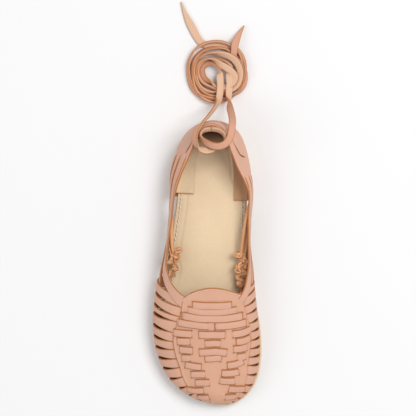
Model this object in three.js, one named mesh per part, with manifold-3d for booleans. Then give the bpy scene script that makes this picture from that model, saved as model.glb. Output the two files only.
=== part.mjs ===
// A right foot huarache sandal: a leather sole with a low heel, an insole, one woven leather upper, the knotted strip
// ends inside its waist, and a flat lace that is tied in front of the heel and lies coiled on the floor behind it.
// Millimetres. +X is the medial side, -Y the toe and +Z up. The origin is on the floor under the middle of the sandal.
import * as THREE from "three";
import { mergeVertices } from "three/addons/utils/BufferGeometryUtils.js";
import Module from "manifold-3d";

const wasm = await Module();
wasm.setup();

// Driving sizes
const LENGTH = 250;
const BALL_WIDTH = 89.5;
const INSTEP_HEIGHT = 53;
const HEEL_HEIGHT = 58.5;
const SOLE_THICKNESS = 4.5;
const HEEL_LIFT = 5.5;
const TOE_SPRING = 6;
const WALL = 2;
const GAP = 0.3;
const INSOLE_THICKNESS = 2.4;
const LACE_WIDTH = 6;
const LACE_THICKNESS = 2;

// Places along the sandal
const TOE_END = -LENGTH / 2;
const SPRING_START = -78;
const BALL_END = -38;
const WAIST_TOP = 46;
const HEEL_BREAST = 44;
const BREAST_SLOPE = 2;

// Distances in from the sole's edge
const FEATHER_INSET = 2;
const RAND_INSET = 2.3;
const RAND_WIDTH = 6.5;
const WAIST_INSET = 0.8;
const INSOLE_INSET = 4.6;

// The last at the length, ball width, instep and heel height of TABLE_SIZE, a row for each station from the toe end to
// the heel end; column() fits it to the driving sizes. y and edge: the sole's outline. topY, top and
// topZ: where the section over that station ends, on the crown line as far as the throat and on the ankle line behind
// it. bulge: how far the side stands out. dome: 1 where the section closes over the foot, 0 where it is a side wall.
// rim: the height of the heel counter's rim.
const STATIONS = [
  { y: -125, edgeLateral: 12.5, edgeMedial: 12.5, topY: -104, topLateral: 11, topMedial: 11, topZ: 26.2,
    bulgeLateral: 0.5, bulgeMedial: 0.5, dome: 1, rimLateral: 0, rimMedial: 0 },
  { y: -123.2, edgeLateral: 1, edgeMedial: 23, topY: -103, topLateral: 11, topMedial: 11, topZ: 26.5,
    bulgeLateral: 0.9, bulgeMedial: 0.5, dome: 1, rimLateral: 0, rimMedial: 0 },
  { y: -118.6, edgeLateral: -11.5, edgeMedial: 31.5, topY: -100, topLateral: 10.8, topMedial: 10.8, topZ: 27.3,
    bulgeLateral: 1.8, bulgeMedial: 0.5, dome: 1, rimLateral: 0, rimMedial: 0 },
  { y: -111.5, edgeLateral: -21.5, edgeMedial: 38.4, topY: -95.5, topLateral: 10.4, topMedial: 10.4, topZ: 28.6,
    bulgeLateral: 3, bulgeMedial: 0.5, dome: 1, rimLateral: 0, rimMedial: 0 },
  { y: -102, edgeLateral: -30.5, edgeMedial: 43.4, topY: -89.5, topLateral: 9.8, topMedial: 9.8, topZ: 30.2,
    bulgeLateral: 4.2, bulgeMedial: 0.5, dome: 1, rimLateral: 0, rimMedial: 0 },
  { y: -90, edgeLateral: -37.5, edgeMedial: 46.3, topY: -81.5, topLateral: 8.8, topMedial: 8.8, topZ: 32.4,
    bulgeLateral: 5, bulgeMedial: 0.6, dome: 1, rimLateral: 0, rimMedial: 0 },
  { y: -75, edgeLateral: -42.2, edgeMedial: 47.3, topY: -70, topLateral: 7.4, topMedial: 7.4, topZ: 35.6,
    bulgeLateral: 5.6, bulgeMedial: 0.8, dome: 1, rimLateral: 0, rimMedial: 0 },
  { y: -58, edgeLateral: -44.2, edgeMedial: 46.2, topY: -55.5, topLateral: 5.8, topMedial: 5.8, topZ: 39.5,
    bulgeLateral: 5.8, bulgeMedial: 1.2, dome: 1, rimLateral: 0, rimMedial: 0 },
  { y: -40, edgeLateral: -43.2, edgeMedial: 43.2, topY: -38.5, topLateral: 4.4, topMedial: 4.4, topZ: 43.8,
    bulgeLateral: 6.4, bulgeMedial: 2.2, dome: 1, rimLateral: 0, rimMedial: 0 },
  { y: -20, edgeLateral: -40, edgeMedial: 39.3, topY: -20, topLateral: 3.6, topMedial: 3.6, topZ: 48.5,
    bulgeLateral: 7, bulgeMedial: 4.4, dome: 1, rimLateral: 0, rimMedial: 0 },
  { y: 0, edgeLateral: -36, edgeMedial: 36.5, topY: -2, topLateral: 3.6, topMedial: 3.6, topZ: 53,
    bulgeLateral: 8, bulgeMedial: 6.4, dome: 0.9, rimLateral: 0, rimMedial: 0 },
  { y: 20, edgeLateral: -32.4, edgeMedial: 34.8, topY: 19, topLateral: -13, topMedial: 24, topZ: 56,
    bulgeLateral: 7.8, bulgeMedial: 6, dome: 0.4, rimLateral: 0, rimMedial: 0 },
  { y: 40, edgeLateral: -29, edgeMedial: 34.4, topY: 40, topLateral: -15, topMedial: 28, topZ: 58,
    bulgeLateral: 8, bulgeMedial: 6.6, dome: 0, rimLateral: 34, rimMedial: 34 },
  { y: 60, edgeLateral: -26.6, edgeMedial: 34.5, topY: 60, topLateral: -11, topMedial: 27, topZ: 60,
    bulgeLateral: 8.6, bulgeMedial: 7.6, dome: 0, rimLateral: 37, rimMedial: 36 },
  { y: 80, edgeLateral: -26, edgeMedial: 34.2, topY: 79, topLateral: -4.5, topMedial: 16.5, topZ: 60,
    bulgeLateral: 8.2, bulgeMedial: 7, dome: 0, rimLateral: 43, rimMedial: 44 },
  { y: 98, edgeLateral: -22.8, edgeMedial: 31.8, topY: 97, topLateral: -5.9, topMedial: 17.2, topZ: 60,
    bulgeLateral: 6.5, bulgeMedial: 5.5, dome: 0, rimLateral: 52, rimMedial: 53 },
  { y: 111.4, edgeLateral: -16.5, edgeMedial: 26.5, topY: 109, topLateral: -5.4, topMedial: 15.7, topZ: 60,
    bulgeLateral: 5, bulgeMedial: 5, dome: 0, rimLateral: 56.5, rimMedial: 57 },
  { y: 119.2, edgeLateral: -7, edgeMedial: 18.5, topY: 116.4, topLateral: -2.2, topMedial: 12.1, topZ: 60,
    bulgeLateral: 4, bulgeMedial: 4, dome: 0, rimLateral: 58, rimMedial: 58 },
  { y: 122.4, edgeLateral: 5.5, edgeMedial: 5.5, topY: 119, topLateral: 5.2, topMedial: 5.2, topZ: 60,
    bulgeLateral: 3.8, bulgeMedial: 3.8, dome: 0, rimLateral: 58.5, rimMedial: 58.5 },
];
const TABLE_SIZE = { length: 250, ballWidth: 89.5, instep: 53, heel: 58.5 };
const FIT = {
  y: LENGTH / TABLE_SIZE.length,
  topY: LENGTH / TABLE_SIZE.length,
  edge: BALL_WIDTH / TABLE_SIZE.ballWidth,
  top: BALL_WIDTH / TABLE_SIZE.ballWidth,
  bulge: BALL_WIDTH / TABLE_SIZE.ballWidth,
  topZ: INSTEP_HEIGHT / TABLE_SIZE.instep,
  rim: HEEL_HEIGHT / TABLE_SIZE.heel,
  dome: 1,
};
const LAST_STATION = STATIONS.length - 1;
const VAMP_END = 9.8;
const COUNTER_START = 13;
const SIDES = ["Lateral", "Medial"];

// How full the sections are: the powers of a section's rise and of its bulge, and the drop below the sole's edge.
const SECTION_POWER = 0.86;
const BULGE_POWER = 0.6;
const DROP_BELOW_EDGE = 40;

// The open slots between the strips, from the foot of each at the sole to its head beside the woven middle.
const SLOTS = [
  { side: "Lateral", foot: 8.92, head: 8.05, top: 0.58, width: 2.6 },
  { side: "Lateral", foot: 8.45, head: 7.6, top: 0.54, width: 2.4 },
  { side: "Lateral", foot: 8, head: 7.35, top: 0.42, width: 2.2 },
  { side: "Lateral", foot: 7.47, head: 6.8, top: 0.42, width: 2.2 },
  { side: "Lateral", foot: 6.9, head: 6.35, top: 0.4, width: 2.2 },
  { side: "Lateral", foot: 6.33, head: 5.9, top: 0.4, width: 2.2 },
  { side: "Lateral", foot: 5.72, head: 5.35, top: 0.39, width: 2.2 },
  { side: "Lateral", foot: 5.08, head: 4.75, top: 0.38, width: 2.2 },
  { side: "Lateral", foot: 4.3, head: 4.02, top: 0.38, width: 2.2 },
  { side: "Lateral", foot: 3.45, head: 3.2, top: 0.36, width: 2.2 },
  { side: "Lateral", foot: 2.3, head: 1.95, top: 0.3, width: 2 },
  { side: "Medial", foot: 9.1, head: 8.45, top: 0.4, width: 2.2 },
  { side: "Medial", foot: 8.62, head: 8.1, top: 0.36, width: 2.2 },
  { side: "Medial", foot: 8.15, head: 7.75, top: 0.3, width: 2.2 },
  { side: "Medial", foot: 7.65, head: 7.3, top: 0.32, width: 2.2 },
  { side: "Medial", foot: 7.18, head: 6.88, top: 0.34, width: 2.2 },
  { side: "Medial", foot: 6.72, head: 6.43, top: 0.35, width: 2.2 },
  { side: "Medial", foot: 6.25, head: 5.97, top: 0.38, width: 2.2 },
  { side: "Medial", foot: 5.75, head: 5.47, top: 0.4, width: 2.2 },
  { side: "Medial", foot: 5.2, head: 4.93, top: 0.4, width: 2.2 },
  { side: "Medial", foot: 4.5, head: 4.2, top: 0.4, width: 2.2 },
  { side: "Medial", foot: 3.62, head: 3.25, top: 0.37, width: 2.2 },
  { side: "Medial", foot: 2.5, head: 2.15, top: 0.3, width: 2 },
];

// The side straps from the vamp to the heel counter, by the heights of their lower and upper edges at each station.
const STRAPS = [
  { side: "Lateral", proud: 0.35, rows: [
    { station: 8.45, low: 35.5, high: 40 },
    { station: 8.9, low: 34, high: 40 },
    { station: 9.4, low: 28.5, high: 36.5 },
    { station: 10, low: 25.5, high: 32.5 },
    { station: 11, low: 26.5, high: 33 },
    { station: 12, low: 28.5, high: 34.5 },
    { station: 13.2, low: 30, high: 36 },
  ] },
  { side: "Lateral", proud: -0.4, rows: [
    { station: 9.2, low: 18.5, high: 23.5 },
    { station: 10, low: 18, high: 23.5 },
    { station: 11, low: 19, high: 25 },
    { station: 12, low: 20.5, high: 26.5 },
    { station: 13.2, low: 22, high: 28 },
  ] },
  { side: "Lateral", proud: 0.2, rows: [
    { station: 9.3, low: 11, high: 15.5 },
    { station: 10, low: 11, high: 16 },
    { station: 11, low: 12, high: 17.5 },
    { station: 12, low: 13, high: 18.5 },
    { station: 13.2, low: 14, high: 20 },
  ] },
  { side: "Medial", proud: 0.35, rows: [
    { station: 8.3, low: 32.5, high: 37.5 },
    { station: 8.75, low: 29.5, high: 36 },
    { station: 9.3, low: 26.5, high: 33.5 },
    { station: 10, low: 25, high: 31.5 },
    { station: 11, low: 26, high: 32.5 },
    { station: 12, low: 28, high: 34 },
    { station: 13.2, low: 29.5, high: 35.5 },
  ] },
  { side: "Medial", proud: -0.4, rows: [
    { station: 8.9, low: 18.5, high: 23.5 },
    { station: 10, low: 17.5, high: 23 },
    { station: 11, low: 18.5, high: 24.5 },
    { station: 12, low: 20, high: 26 },
    { station: 13.2, low: 21.5, high: 27.5 },
  ] },
  { side: "Medial", proud: 0.2, rows: [
    { station: 8.95, low: 11, high: 15.5 },
    { station: 10, low: 11, high: 16 },
    { station: 11, low: 12, high: 17.5 },
    { station: 12, low: 13, high: 18.5 },
    { station: 13.2, low: 14, high: 20 },
  ] },
];

// The back edge of the vamp's side, from the sole up to the throat strap.
const VAMP_BACK = {
  Lateral: [
    { girth: -0.02, station: 9.72 },
    { girth: 0.14, station: 9.5 },
    { girth: 0.34, station: 9.22 },
    { girth: 0.5, station: 8.95 },
    { girth: 0.66, station: 8.72 },
  ],
  Medial: [
    { girth: -0.02, station: 9.55 },
    { girth: 0.14, station: 9.4 },
    { girth: 0.34, station: 9.12 },
    { girth: 0.5, station: 8.85 },
    { girth: 0.66, station: 8.62 },
  ],
};

// The foot opening in front of the heel, seen from above.
const THROAT = [
  { x: -21, y: -29.6 },
  { x: -16.5, y: -25.4 },
  { x: -10.5, y: -22.6 },
  { x: -1, y: -21 },
  { x: 8, y: -20.7 },
  { x: 17, y: -21.8 },
  { x: 24, y: -23.8 },
  { x: 29.5, y: -26 },
  { x: 34, y: -21.5 },
  { x: 36, y: -14 },
  { x: 36, y: 20 },
  { x: -33.5, y: 20 },
  { x: -33.5, y: -4 },
  { x: -29, y: -12.5 },
];

// The knotted strip ends: the middle of each plait.
const KNOTS = {
  knot_lateral: [[-28.6, 13, 21.5], [-28.4, 5, 20], [-29.2, -3, 19], [-31, -11, 17.2], [-31.5, -18, 15.5]],
  knot_medial: [[29.6, 9, 21.5], [29.2, 0, 20], [28.6, -9, 19], [28.8, -18, 17.6], [29.6, -26, 16.2]],
};
const KNOT_RADIUS = 4.2;

// The lace by the middle of its strip and the direction that its grain side faces.
const LACE_BACK = [
  { at: [14, 103.2, 53.6], faces: [1, 0.15, 0.2] },
  { at: [14.6, 107.5, 53.6], faces: [1, 0.4, 0.2] },
  { at: [11.6, 112.3, 53.6], faces: [0.7, 0.8, 0.2] },
  { at: [5.2, 114.4, 53.6], faces: [0, 1, 0.2] },
  { at: [-1.2, 112.3, 53.6], faces: [-0.7, 0.8, 0.2] },
  { at: [-4.6, 107.5, 53.6], faces: [-1, 0.4, 0.2] },
  { at: [-4.2, 103.2, 53.6], faces: [-1, 0.15, 0.2] },
];
const LACE_ENDS_IN_KNOT = [
  [
    { at: [-4.2, 103.2, 53.6], faces: [-1, -0.2, 0.2] },
    { at: [-2, 99.6, 54.6], faces: [-0.8, -0.7, 0.5] },
    { at: [4, 97.4, 56.6], faces: [0, -0.7, 0.8] },
    { at: [10.5, 97.8, 56.8], faces: [0.3, -0.5, 0.9] },
    { at: [16.5, 99.8, 57.4], faces: [0.3, -0.2, 1] },
    { at: [20.6, 103.4, 59], faces: [0.2, -0.1, 1] },
    { at: [22.4, 108, 60.3], faces: [0.1, 0.15, 1] },
  ],
  [
    { at: [14, 103.2, 53.6], faces: [1, -0.2, 0.2] },
    { at: [11.5, 98.8, 52.6], faces: [0.7, -0.8, 0.3] },
    { at: [6, 96.6, 51.4], faces: [0, -1, 0.3] },
    { at: [-0.5, 97.4, 52.8], faces: [-0.5, -0.8, 0.5] },
    { at: [-6, 99.2, 56], faces: [-0.8, -0.4, 0.6] },
    { at: [-9.4, 102.4, 58.6], faces: [-0.9, -0.1, 0.6] },
    { at: [-10.2, 107, 60.2], faces: [-0.9, 0.1, 0.6] },
  ],
];
const LACE_RUNS = {
  lace_left_run: [
    { at: [-10.2, 108.1, 60.4], faces: [-0.9, 0.1, 0.6] },
    { at: [-9, 113.8, 60.6], faces: [-0.8, 0.4, 0.6] },
    { at: [-5.4, 120, 58.4], faces: [-0.8, 0.5, 0.4] },
    { at: [-1, 125.6, 50], faces: [-0.85, 0.5, 0.2] },
    { at: [3, 130.4, 37], faces: [-0.9, 0.4, 0.1] },
    { at: [6.8, 136, 22], faces: [-0.8, 0.3, 0.4] },
    { at: [9.6, 142.5, 12.6], faces: [-0.5, 0.1, 0.8] },
    { at: [11, 151, 10], faces: [-0.3, 0, 1] },
    { at: [10, 160, 9.8], faces: [-0.2, 0, 1] },
  ],
  lace_right_run: [
    { at: [22.5, 109.1, 60.4], faces: [0.1, 0.2, 1] },
    { at: [23.4, 114.6, 60], faces: [0.1, 0.5, 0.9] },
    { at: [23.2, 120.6, 54.5], faces: [0.1, 0.8, 0.6] },
    { at: [22, 126, 44], faces: [0, 0.9, 0.4] },
    { at: [20.6, 131, 31], faces: [-0.3, 0.9, 0.3] },
    { at: [19.2, 137, 19], faces: [-0.6, 0.6, 0.5] },
    { at: [18, 143.5, 12], faces: [-0.6, 0.3, 0.7] },
    { at: [17, 151, 10], faces: [-0.4, 0, 0.9] },
  ],
};
const LACE_TAILS = {
  lace_left_tail: [
    { at: [-7.6, 195.4, 1.4], faces: [0, 0, 1], width: 6 },
    { at: [-11, 202, 1.4], faces: [0, 0, 1], width: 6.6 },
    { at: [-15.6, 210.5, 1.4], faces: [0, 0, 1], width: 6.6 },
    { at: [-19.6, 219, 1.4], faces: [0, 0, 1], width: 4 },
    { at: [-23.6, 229.6, 1.4], faces: [0, 0, 1], width: 1.4 },
  ],
  lace_right_tail: [
    { at: [23, 183, 10], faces: [0, 0, 1], width: 6 },
    { at: [24.6, 190, 9.4], faces: [0, 0.2, 1], width: 6.2 },
    { at: [26.6, 196, 7.4], faces: [0.1, 0.4, 0.9], width: 6.2 },
    { at: [29.4, 202.4, 4.4], faces: [0.1, 0.4, 0.9], width: 4 },
    { at: [32, 208, 2], faces: [0.1, 0.3, 0.9], width: 1.4 },
  ],
};

// The coil that the lace's length is wound into, lying on the floor behind the heel.
const COIL = { x: 8, y: 168, inner: 8, outer: 28, height: 8, round: 1.6, sides: 40 };

function clamp(value, low, high) {
  return Math.max(low, Math.min(high, value));
}

function mix(a, b, share) {
  return a + (b - a) * share;
}

function smooth(value) {
  const s = clamp(value, 0, 1);
  return s * s * (3 - 2 * s);
}

function steps(from, to, count) {
  return Array.from({ length: count + 1 }, (_, i) => mix(from, to, i / count));
}

function vector(numbers) {
  return new THREE.Vector3(...numbers);
}

// A column of STATIONS at any station, smooth between rows. Past either end the other side's rows follow.
function column(side, name, station) {
  const first = Math.floor(station);
  const s = station - first;
  const [a, b, c, d] = [-1, 0, 1, 2].map((step) => {
    const row = first + step;
    const past = row < 0 || row > LAST_STATION;
    const inside = row < 0 ? -row : row > LAST_STATION ? 2 * LAST_STATION - row : row;
    const own = past ? SIDES.find((other) => other !== side) : side;
    return STATIONS[inside][name in STATIONS[inside] ? name : name + own];
  });
  const value = b + 0.5 * s * (c - a + s * (2 * a - 5 * b + 4 * c - d + s * (3 * (b - c) + d - a)));
  return value * FIT[name];
}

// The direction out of the sole's outline at a station.
function outward(side, station) {
  const reach = 0.02;
  const dx = column(side, "edge", station + reach) - column(side, "edge", station - reach);
  const dy = column(side, "y", station + reach) - column(side, "y", station - reach);
  const turn = side === "Lateral" ? 1 : -1;
  return new THREE.Vector2(-dy * turn, dx * turn).normalize();
}

function edgePoint(side, station, inset) {
  const point = new THREE.Vector2(column(side, "edge", station), column(side, "y", station));
  return point.addScaledVector(outward(side, station), -inset);
}

function soleTop(y) {
  const lift = HEEL_LIFT * smooth((y - BALL_END) / (WAIST_TOP - BALL_END));
  const spring = TOE_SPRING * clamp((SPRING_START - y) / (SPRING_START - TOE_END), 0, 1) ** 2;
  return SOLE_THICKNESS + lift + spring;
}

function soleUnder(y) {
  const arch = soleTop(y) - SOLE_THICKNESS;
  return arch * clamp((HEEL_BREAST - y) / BREAST_SLOPE, 0, 1);
}

function stationAt(y) {
  let [low, high] = [0, LAST_STATION];
  while (high - low > 1e-4) {
    const middle = (low + high) / 2;
    if (column("Lateral", "y", middle) < y) low = middle;
    else high = middle;
  }
  return low;
}

// A point of the last. girth runs from 0 at the sole to 1 at the top of the section, and below 0 straight down.
function lastPoint(side, station, girth) {
  const foot = edgePoint(side, station, FEATHER_INSET);
  const base = soleTop(foot.y) + GAP;
  const dome = clamp(column(side, "dome", station), 0, 1);
  const share = Math.max(girth, 0);
  const angle = (share * Math.PI) / 2;
  const inwards = mix(share ** 2, 1 - Math.max(0, Math.cos(angle)) ** SECTION_POWER, dome);
  const upwards = mix(share, Math.sin(angle) ** SECTION_POWER, dome);
  const out = column(side, "bulge", station) * Math.sin(Math.PI * upwards ** BULGE_POWER);
  const normal = outward(side, station);
  return new THREE.Vector3(
    mix(foot.x, column(side, "top", station), inwards) + normal.x * out,
    mix(foot.y, column(side, "topY", station), inwards) + normal.y * out,
    mix(base, column(side, "topZ", station), upwards) + DROP_BELOW_EDGE * Math.min(girth, 0),
  );
}

function girthAtHeight(side, station, z) {
  let [low, high] = [0, 1];
  while (high - low > 1e-4) {
    const middle = (low + high) / 2;
    if (lastPoint(side, station, middle).z < z) low = middle;
    else high = middle;
  }
  return low;
}

// Merges the corners of a list of triangles and drops the empty ones.
function merged(triangles) {
  const loose = new THREE.BufferGeometry();
  loose.setAttribute("position", new THREE.Float32BufferAttribute(triangles.flat().flatMap((p) => p.toArray()), 3));
  return cleaned(loose);
}

function cleaned(loose) {
  const geometry = mergeVertices(loose, 1e-3);
  const faces = [];
  for (let i = 0; i < geometry.index.count; i += 3) {
    const face = [0, 1, 2].map((k) => geometry.index.getX(i + k));
    if (new Set(face).size === 3) faces.push(face);
  }
  geometry.setIndex(faces.flat());
  return geometry;
}

function solidFrom(geometry) {
  const triVerts = new Uint32Array(geometry.index.array);
  const vertProperties = new Float32Array(geometry.attributes.position.array);
  return new wasm.Manifold(new wasm.Mesh({ numProp: 3, vertProperties, triVerts }));
}

// A three.js geometry as a solid, its corners shared.
function solidFromShape(geometry) {
  const bare = geometry.index ? geometry.toNonIndexed() : geometry.clone();
  bare.deleteAttribute("normal");
  bare.deleteAttribute("uv");
  return solidFrom(cleaned(bare));
}

// Triangles of a grid of points, each row as long as the others.
function gridTriangles(grid) {
  const triangles = [];
  for (let i = 0; i + 1 < grid.length; i++) {
    for (let j = 0; j + 1 < grid[i].length; j++) {
      const [a, b, c, d] = [grid[i][j], grid[i + 1][j], grid[i + 1][j + 1], grid[i][j + 1]];
      triangles.push([a, b, c], [a, c, d]);
    }
  }
  return triangles;
}

// A wall from an open surface: its points moved outwards and inwards along their normals, and its border closed.
function wallSolid(grid, out, inside) {
  const sheet = merged(gridTriangles(grid));
  sheet.computeVertexNormals();
  const { position, normal } = sheet.attributes;
  const moved = (k, distance) => {
    const direction = new THREE.Vector3().fromBufferAttribute(normal, k);
    return new THREE.Vector3().fromBufferAttribute(position, k).addScaledVector(direction, distance);
  };
  const index = sheet.index.array;
  const edges = new Map();
  const triangles = [];
  for (let i = 0; i < index.length; i += 3) {
    const [a, b, c] = index.slice(i, i + 3);
    triangles.push([moved(a, out), moved(b, out), moved(c, out)]);
    triangles.push([moved(c, -inside), moved(b, -inside), moved(a, -inside)]);
    for (const [from, to] of [[a, b], [b, c], [c, a]]) {
      if (!edges.delete(to + " " + from)) edges.set(from + " " + to, [from, to]);
    }
  }
  for (const [from, to] of edges.values()) {
    const [p, q, r, s] = [moved(from, out), moved(to, out), moved(to, -inside), moved(from, -inside)];
    triangles.push([q, p, s], [q, s, r]);
  }
  return solidFrom(merged(triangles));
}

// A solid from closed rings of points, its two ends fanned, or joined to each other where it is a closed loop.
function ringSolid(rings, closed = false) {
  const looped = rings.map((ring) => [...ring, ring[0]]);
  const triangles = gridTriangles(closed ? [...looped, looped[0]] : looped);
  if (!closed) {
    for (const [ring, flip] of [[rings[0], false], [rings[rings.length - 1], true]]) {
      for (let k = 1; k + 1 < ring.length; k++) {
        triangles.push(flip ? [ring[0], ring[k + 1], ring[k]] : [ring[0], ring[k], ring[k + 1]]);
      }
    }
  }
  const solid = solidFrom(merged(triangles));
  return solid.volume() > 0 ? solid : solidFrom(merged(triangles.map(([a, b, c]) => [a, c, b])));
}

function soleStations() {
  return [...steps(0, 2, 6), ...steps(2.5, 16, 27), ...steps(16.34, LAST_STATION, 5)];
}

function raised(point, height) {
  return new THREE.Vector3(point.x, point.y, height);
}

function outsole() {
  const bevel = 0.8;
  const breast = [HEEL_BREAST - BREAST_SLOPE, HEEL_BREAST].map(stationAt);
  const stations = [...soleStations(), ...breast].sort((a, b) => a - b);
  const rings = stations.map((station) => {
    const [left, right] = SIDES.map((side) => edgePoint(side, station, 0));
    const edge = Math.min(bevel, (right.x - left.x) / 4);
    const [leftLow, rightLow] = [left, right].map((p) => soleUnder(p.y));
    return [
      new THREE.Vector3(left.x + edge, left.y, leftLow),
      new THREE.Vector3(right.x - edge, right.y, rightLow),
      raised(right, rightLow + bevel),
      raised(right, soleTop(right.y)),
      raised(left, soleTop(left.y)),
      raised(left, leftLow + bevel),
    ];
  });
  return ringSolid(rings);
}

// 1 along the open waist between the vamp and the heel counter, 0 under their walls.
function waistShare(station) {
  return smooth((station - 9.75) / 0.5) * smooth((12.85 - station) / 0.5);
}

// The insole over the lasting margin, with a filler below it inside the margin.
function insole() {
  const filler = RAND_INSET + RAND_WIDTH + 2 * GAP;
  const underside = GAP + WALL + GAP;
  const rings = soleStations().map((station) => {
    const inset = mix(INSOLE_INSET, WAIST_INSET, waistShare(station));
    const [left, right] = SIDES.map((side) => edgePoint(side, station, inset));
    const [leftFiller, rightFiller] = SIDES.map((side) => edgePoint(side, station, filler));
    const at = (point, height) => raised(point, soleTop(point.y) + height);
    return [
      at(leftFiller, GAP),
      at(rightFiller, GAP),
      at(rightFiller, underside),
      at(right, underside),
      at(right, underside + INSOLE_THICKNESS),
      at(left, underside + INSOLE_THICKNESS),
      at(left, underside),
      at(leftFiller, underside),
    ];
  });
  return ringSolid(rings);
}

function vampWall() {
  const girths = steps(0, 1, 9);
  const rise = (side, station) => girths.map((girth) => lastPoint(side, station, girth));
  const lateral = steps(VAMP_END, 0, 20).map((station) => rise("Lateral", station));
  const medial = steps(0, VAMP_END, 20).slice(1).map((station) => rise("Medial", station));
  return wallSolid([...lateral, ...medial], 0, WALL);
}

// The heel counter's rim height, straight between rows.
function rimHeight(side, station) {
  const first = clamp(Math.floor(station), 0, LAST_STATION - 1);
  return mix(STATIONS[first]["rim" + side], STATIONS[first + 1]["rim" + side], station - first) * FIT.rim;
}

function counterWall() {
  const rise = (side, station) => {
    const top = girthAtHeight(side, station, rimHeight(side, station));
    return steps(0, top, 6).map((girth) => lastPoint(side, station, girth));
  };
  const medial = steps(COUNTER_START, LAST_STATION, 12).map((station) => rise("Medial", station));
  const lateral = steps(LAST_STATION, COUNTER_START, 12).slice(1).map((station) => rise("Lateral", station));
  return wallSolid([...medial, ...lateral], 0, WALL);
}

// The lasting margin: the upper's edge turned in all round between the outsole and the insole.
function margin() {
  const outer = (station) => mix(RAND_INSET, WAIST_INSET + GAP, waistShare(station));
  const section = (side, station) => {
    const [out, inner] = [outer(station), RAND_INSET + RAND_WIDTH].map((inset) => edgePoint(side, station, inset));
    return [
      raised(out, soleTop(out.y) + GAP),
      raised(out, soleTop(out.y) + GAP + WALL),
      raised(inner, soleTop(inner.y) + GAP + WALL),
      raised(inner, soleTop(inner.y) + GAP),
    ];
  };
  const lateral = soleStations().map((station) => section("Lateral", station));
  const medial = soleStations().slice(1, -1).reverse().map((station) => section("Medial", station));
  return ringSolid([...lateral, ...medial], true);
}

// A patch of the last's side, facing out.
function sidePatch(side, rows) {
  return side === "Lateral" ? [...rows].reverse() : rows;
}

function slotCutter({ side, foot, head, top, width }) {
  const rows = steps(-0.05, 1, 3).map((share) => {
    const station = mix(foot, head, share);
    const perStation = 5 * edgePoint(side, station + 0.1, 0).distanceTo(edgePoint(side, station - 0.1, 0));
    const half = (width * (1 - 0.7 * Math.max(share, 0) ** 3)) / 2 / perStation;
    return [station - half, station + half].map((edge) => lastPoint(side, edge, top * share));
  });
  const across = [0, 1].map((k) => rows.map((row) => row[k]));
  return wallSolid(sidePatch(side, across), WALL, 2.5 * WALL);
}

function backCutter(side) {
  const past = VAMP_END + 0.8;
  const across = steps(0, 1, 3).map((share) =>
    VAMP_BACK[side].map(({ girth, station }) => lastPoint(side, mix(station, past, share), girth)),
  );
  return wallSolid(sidePatch(side, across), 2 * WALL, 3 * WALL);
}

function throatCutter() {
  const outline = new THREE.Shape(THROAT.map(({ x, y }) => new THREE.Vector2(x, y)));
  const prism = new THREE.ExtrudeGeometry(outline, { depth: 60, bevelEnabled: false });
  return solidFromShape(prism.translate(0, 0, 16));
}

function sideStrap({ side, proud, rows }) {
  const edges = new THREE.CatmullRomCurve3(rows.map(({ station, low, high }) => new THREE.Vector3(station, low, high)));
  const across = edges.getPoints(11).map(({ x: station, y: low, z: high }) =>
    [low, high].map((z) => lastPoint(side, station, girthAtHeight(side, station, z))),
  );
  return wallSolid(sidePatch(side, across), proud, WALL - proud);
}

function upper() {
  const cutters = [...SLOTS.map(slotCutter), ...SIDES.map(backCutter), throatCutter()];
  const vamp = cutters.reduce((solid, cutter) => solid.subtract(cutter), vampWall());
  return [counterWall(), margin(), ...STRAPS.map(sideStrap)].reduce((solid, piece) => solid.add(piece), vamp);
}

// A plait of strip ends: a short tube that swells at each crossing.
function knot(points) {
  const curve = new THREE.CatmullRomCurve3(points.map(vector));
  const rings = steps(0, 1, 15).map((share) => {
    const middle = curve.getPoint(share);
    const along = curve.getTangent(share);
    const up = new THREE.Vector3(0, 0, 1).addScaledVector(along, -along.z).normalize();
    const across = new THREE.Vector3().crossVectors(along, up);
    const radius = KNOT_RADIUS * (0.82 + 0.18 * Math.cos(share * 10 * Math.PI)) * (1 - 0.55 * share ** 4);
    return steps(0, 7 / 4, 7).map((turn) =>
      middle.clone()
        .addScaledVector(across, radius * Math.cos(turn * Math.PI))
        .addScaledVector(up, radius * Math.sin(turn * Math.PI)),
    );
  });
  return ringSolid(rings);
}

// A stretch of the lace's strip with its corners taken off.
function strip(rows, count) {
  const route = new THREE.CatmullRomCurve3(rows.map(({ at }) => vector(at)));
  const facing = new THREE.CatmullRomCurve3(rows.map(({ faces }) => vector(faces)));
  const widths = new THREE.CatmullRomCurve3(rows.map(({ width = LACE_WIDTH }, k) => new THREE.Vector3(width, k, 0)));
  const rings = steps(0, 1, count).map((share) => {
    const along = route.getTangent(share);
    const face = facing.getPoint(share);
    face.addScaledVector(along, -face.dot(along)).normalize();
    const across = new THREE.Vector3().crossVectors(along, face);
    const [wide, thick] = [widths.getPoint(share).x / 2, LACE_THICKNESS / 2];
    const corner = Math.min(0.5, wide / 2);
    const section = [
      [wide, thick - corner], [wide - corner, thick], [corner - wide, thick], [-wide, thick - corner],
      [-wide, corner - thick], [corner - wide, -thick], [wide - corner, -thick], [wide, corner - thick],
    ];
    return section.map(([u, v]) =>
      route.getPoint(share).addScaledVector(across, u).addScaledVector(face, v),
    );
  });
  return ringSolid(rings);
}

function laceKnot() {
  const ends = LACE_ENDS_IN_KNOT.map((rows) => strip(rows, 12));
  return ends.reduce((solid, end) => solid.add(end), strip(LACE_BACK, 12));
}

function laceCoil() {
  const { inner, outer, height, round, sides } = COIL;
  const profile = [
    [inner, round], [inner + round, 0], [outer - round, 0], [outer, round],
    [outer, height - round], [outer - round, height], [inner + round, height], [inner, height - round], [inner, round],
  ];
  const ring = new THREE.LatheGeometry(profile.map(([r, z]) => new THREE.Vector2(r, z)), sides);
  return solidFromShape(ring.rotateX(Math.PI / 2).translate(COIL.x, COIL.y, 0));
}

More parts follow.
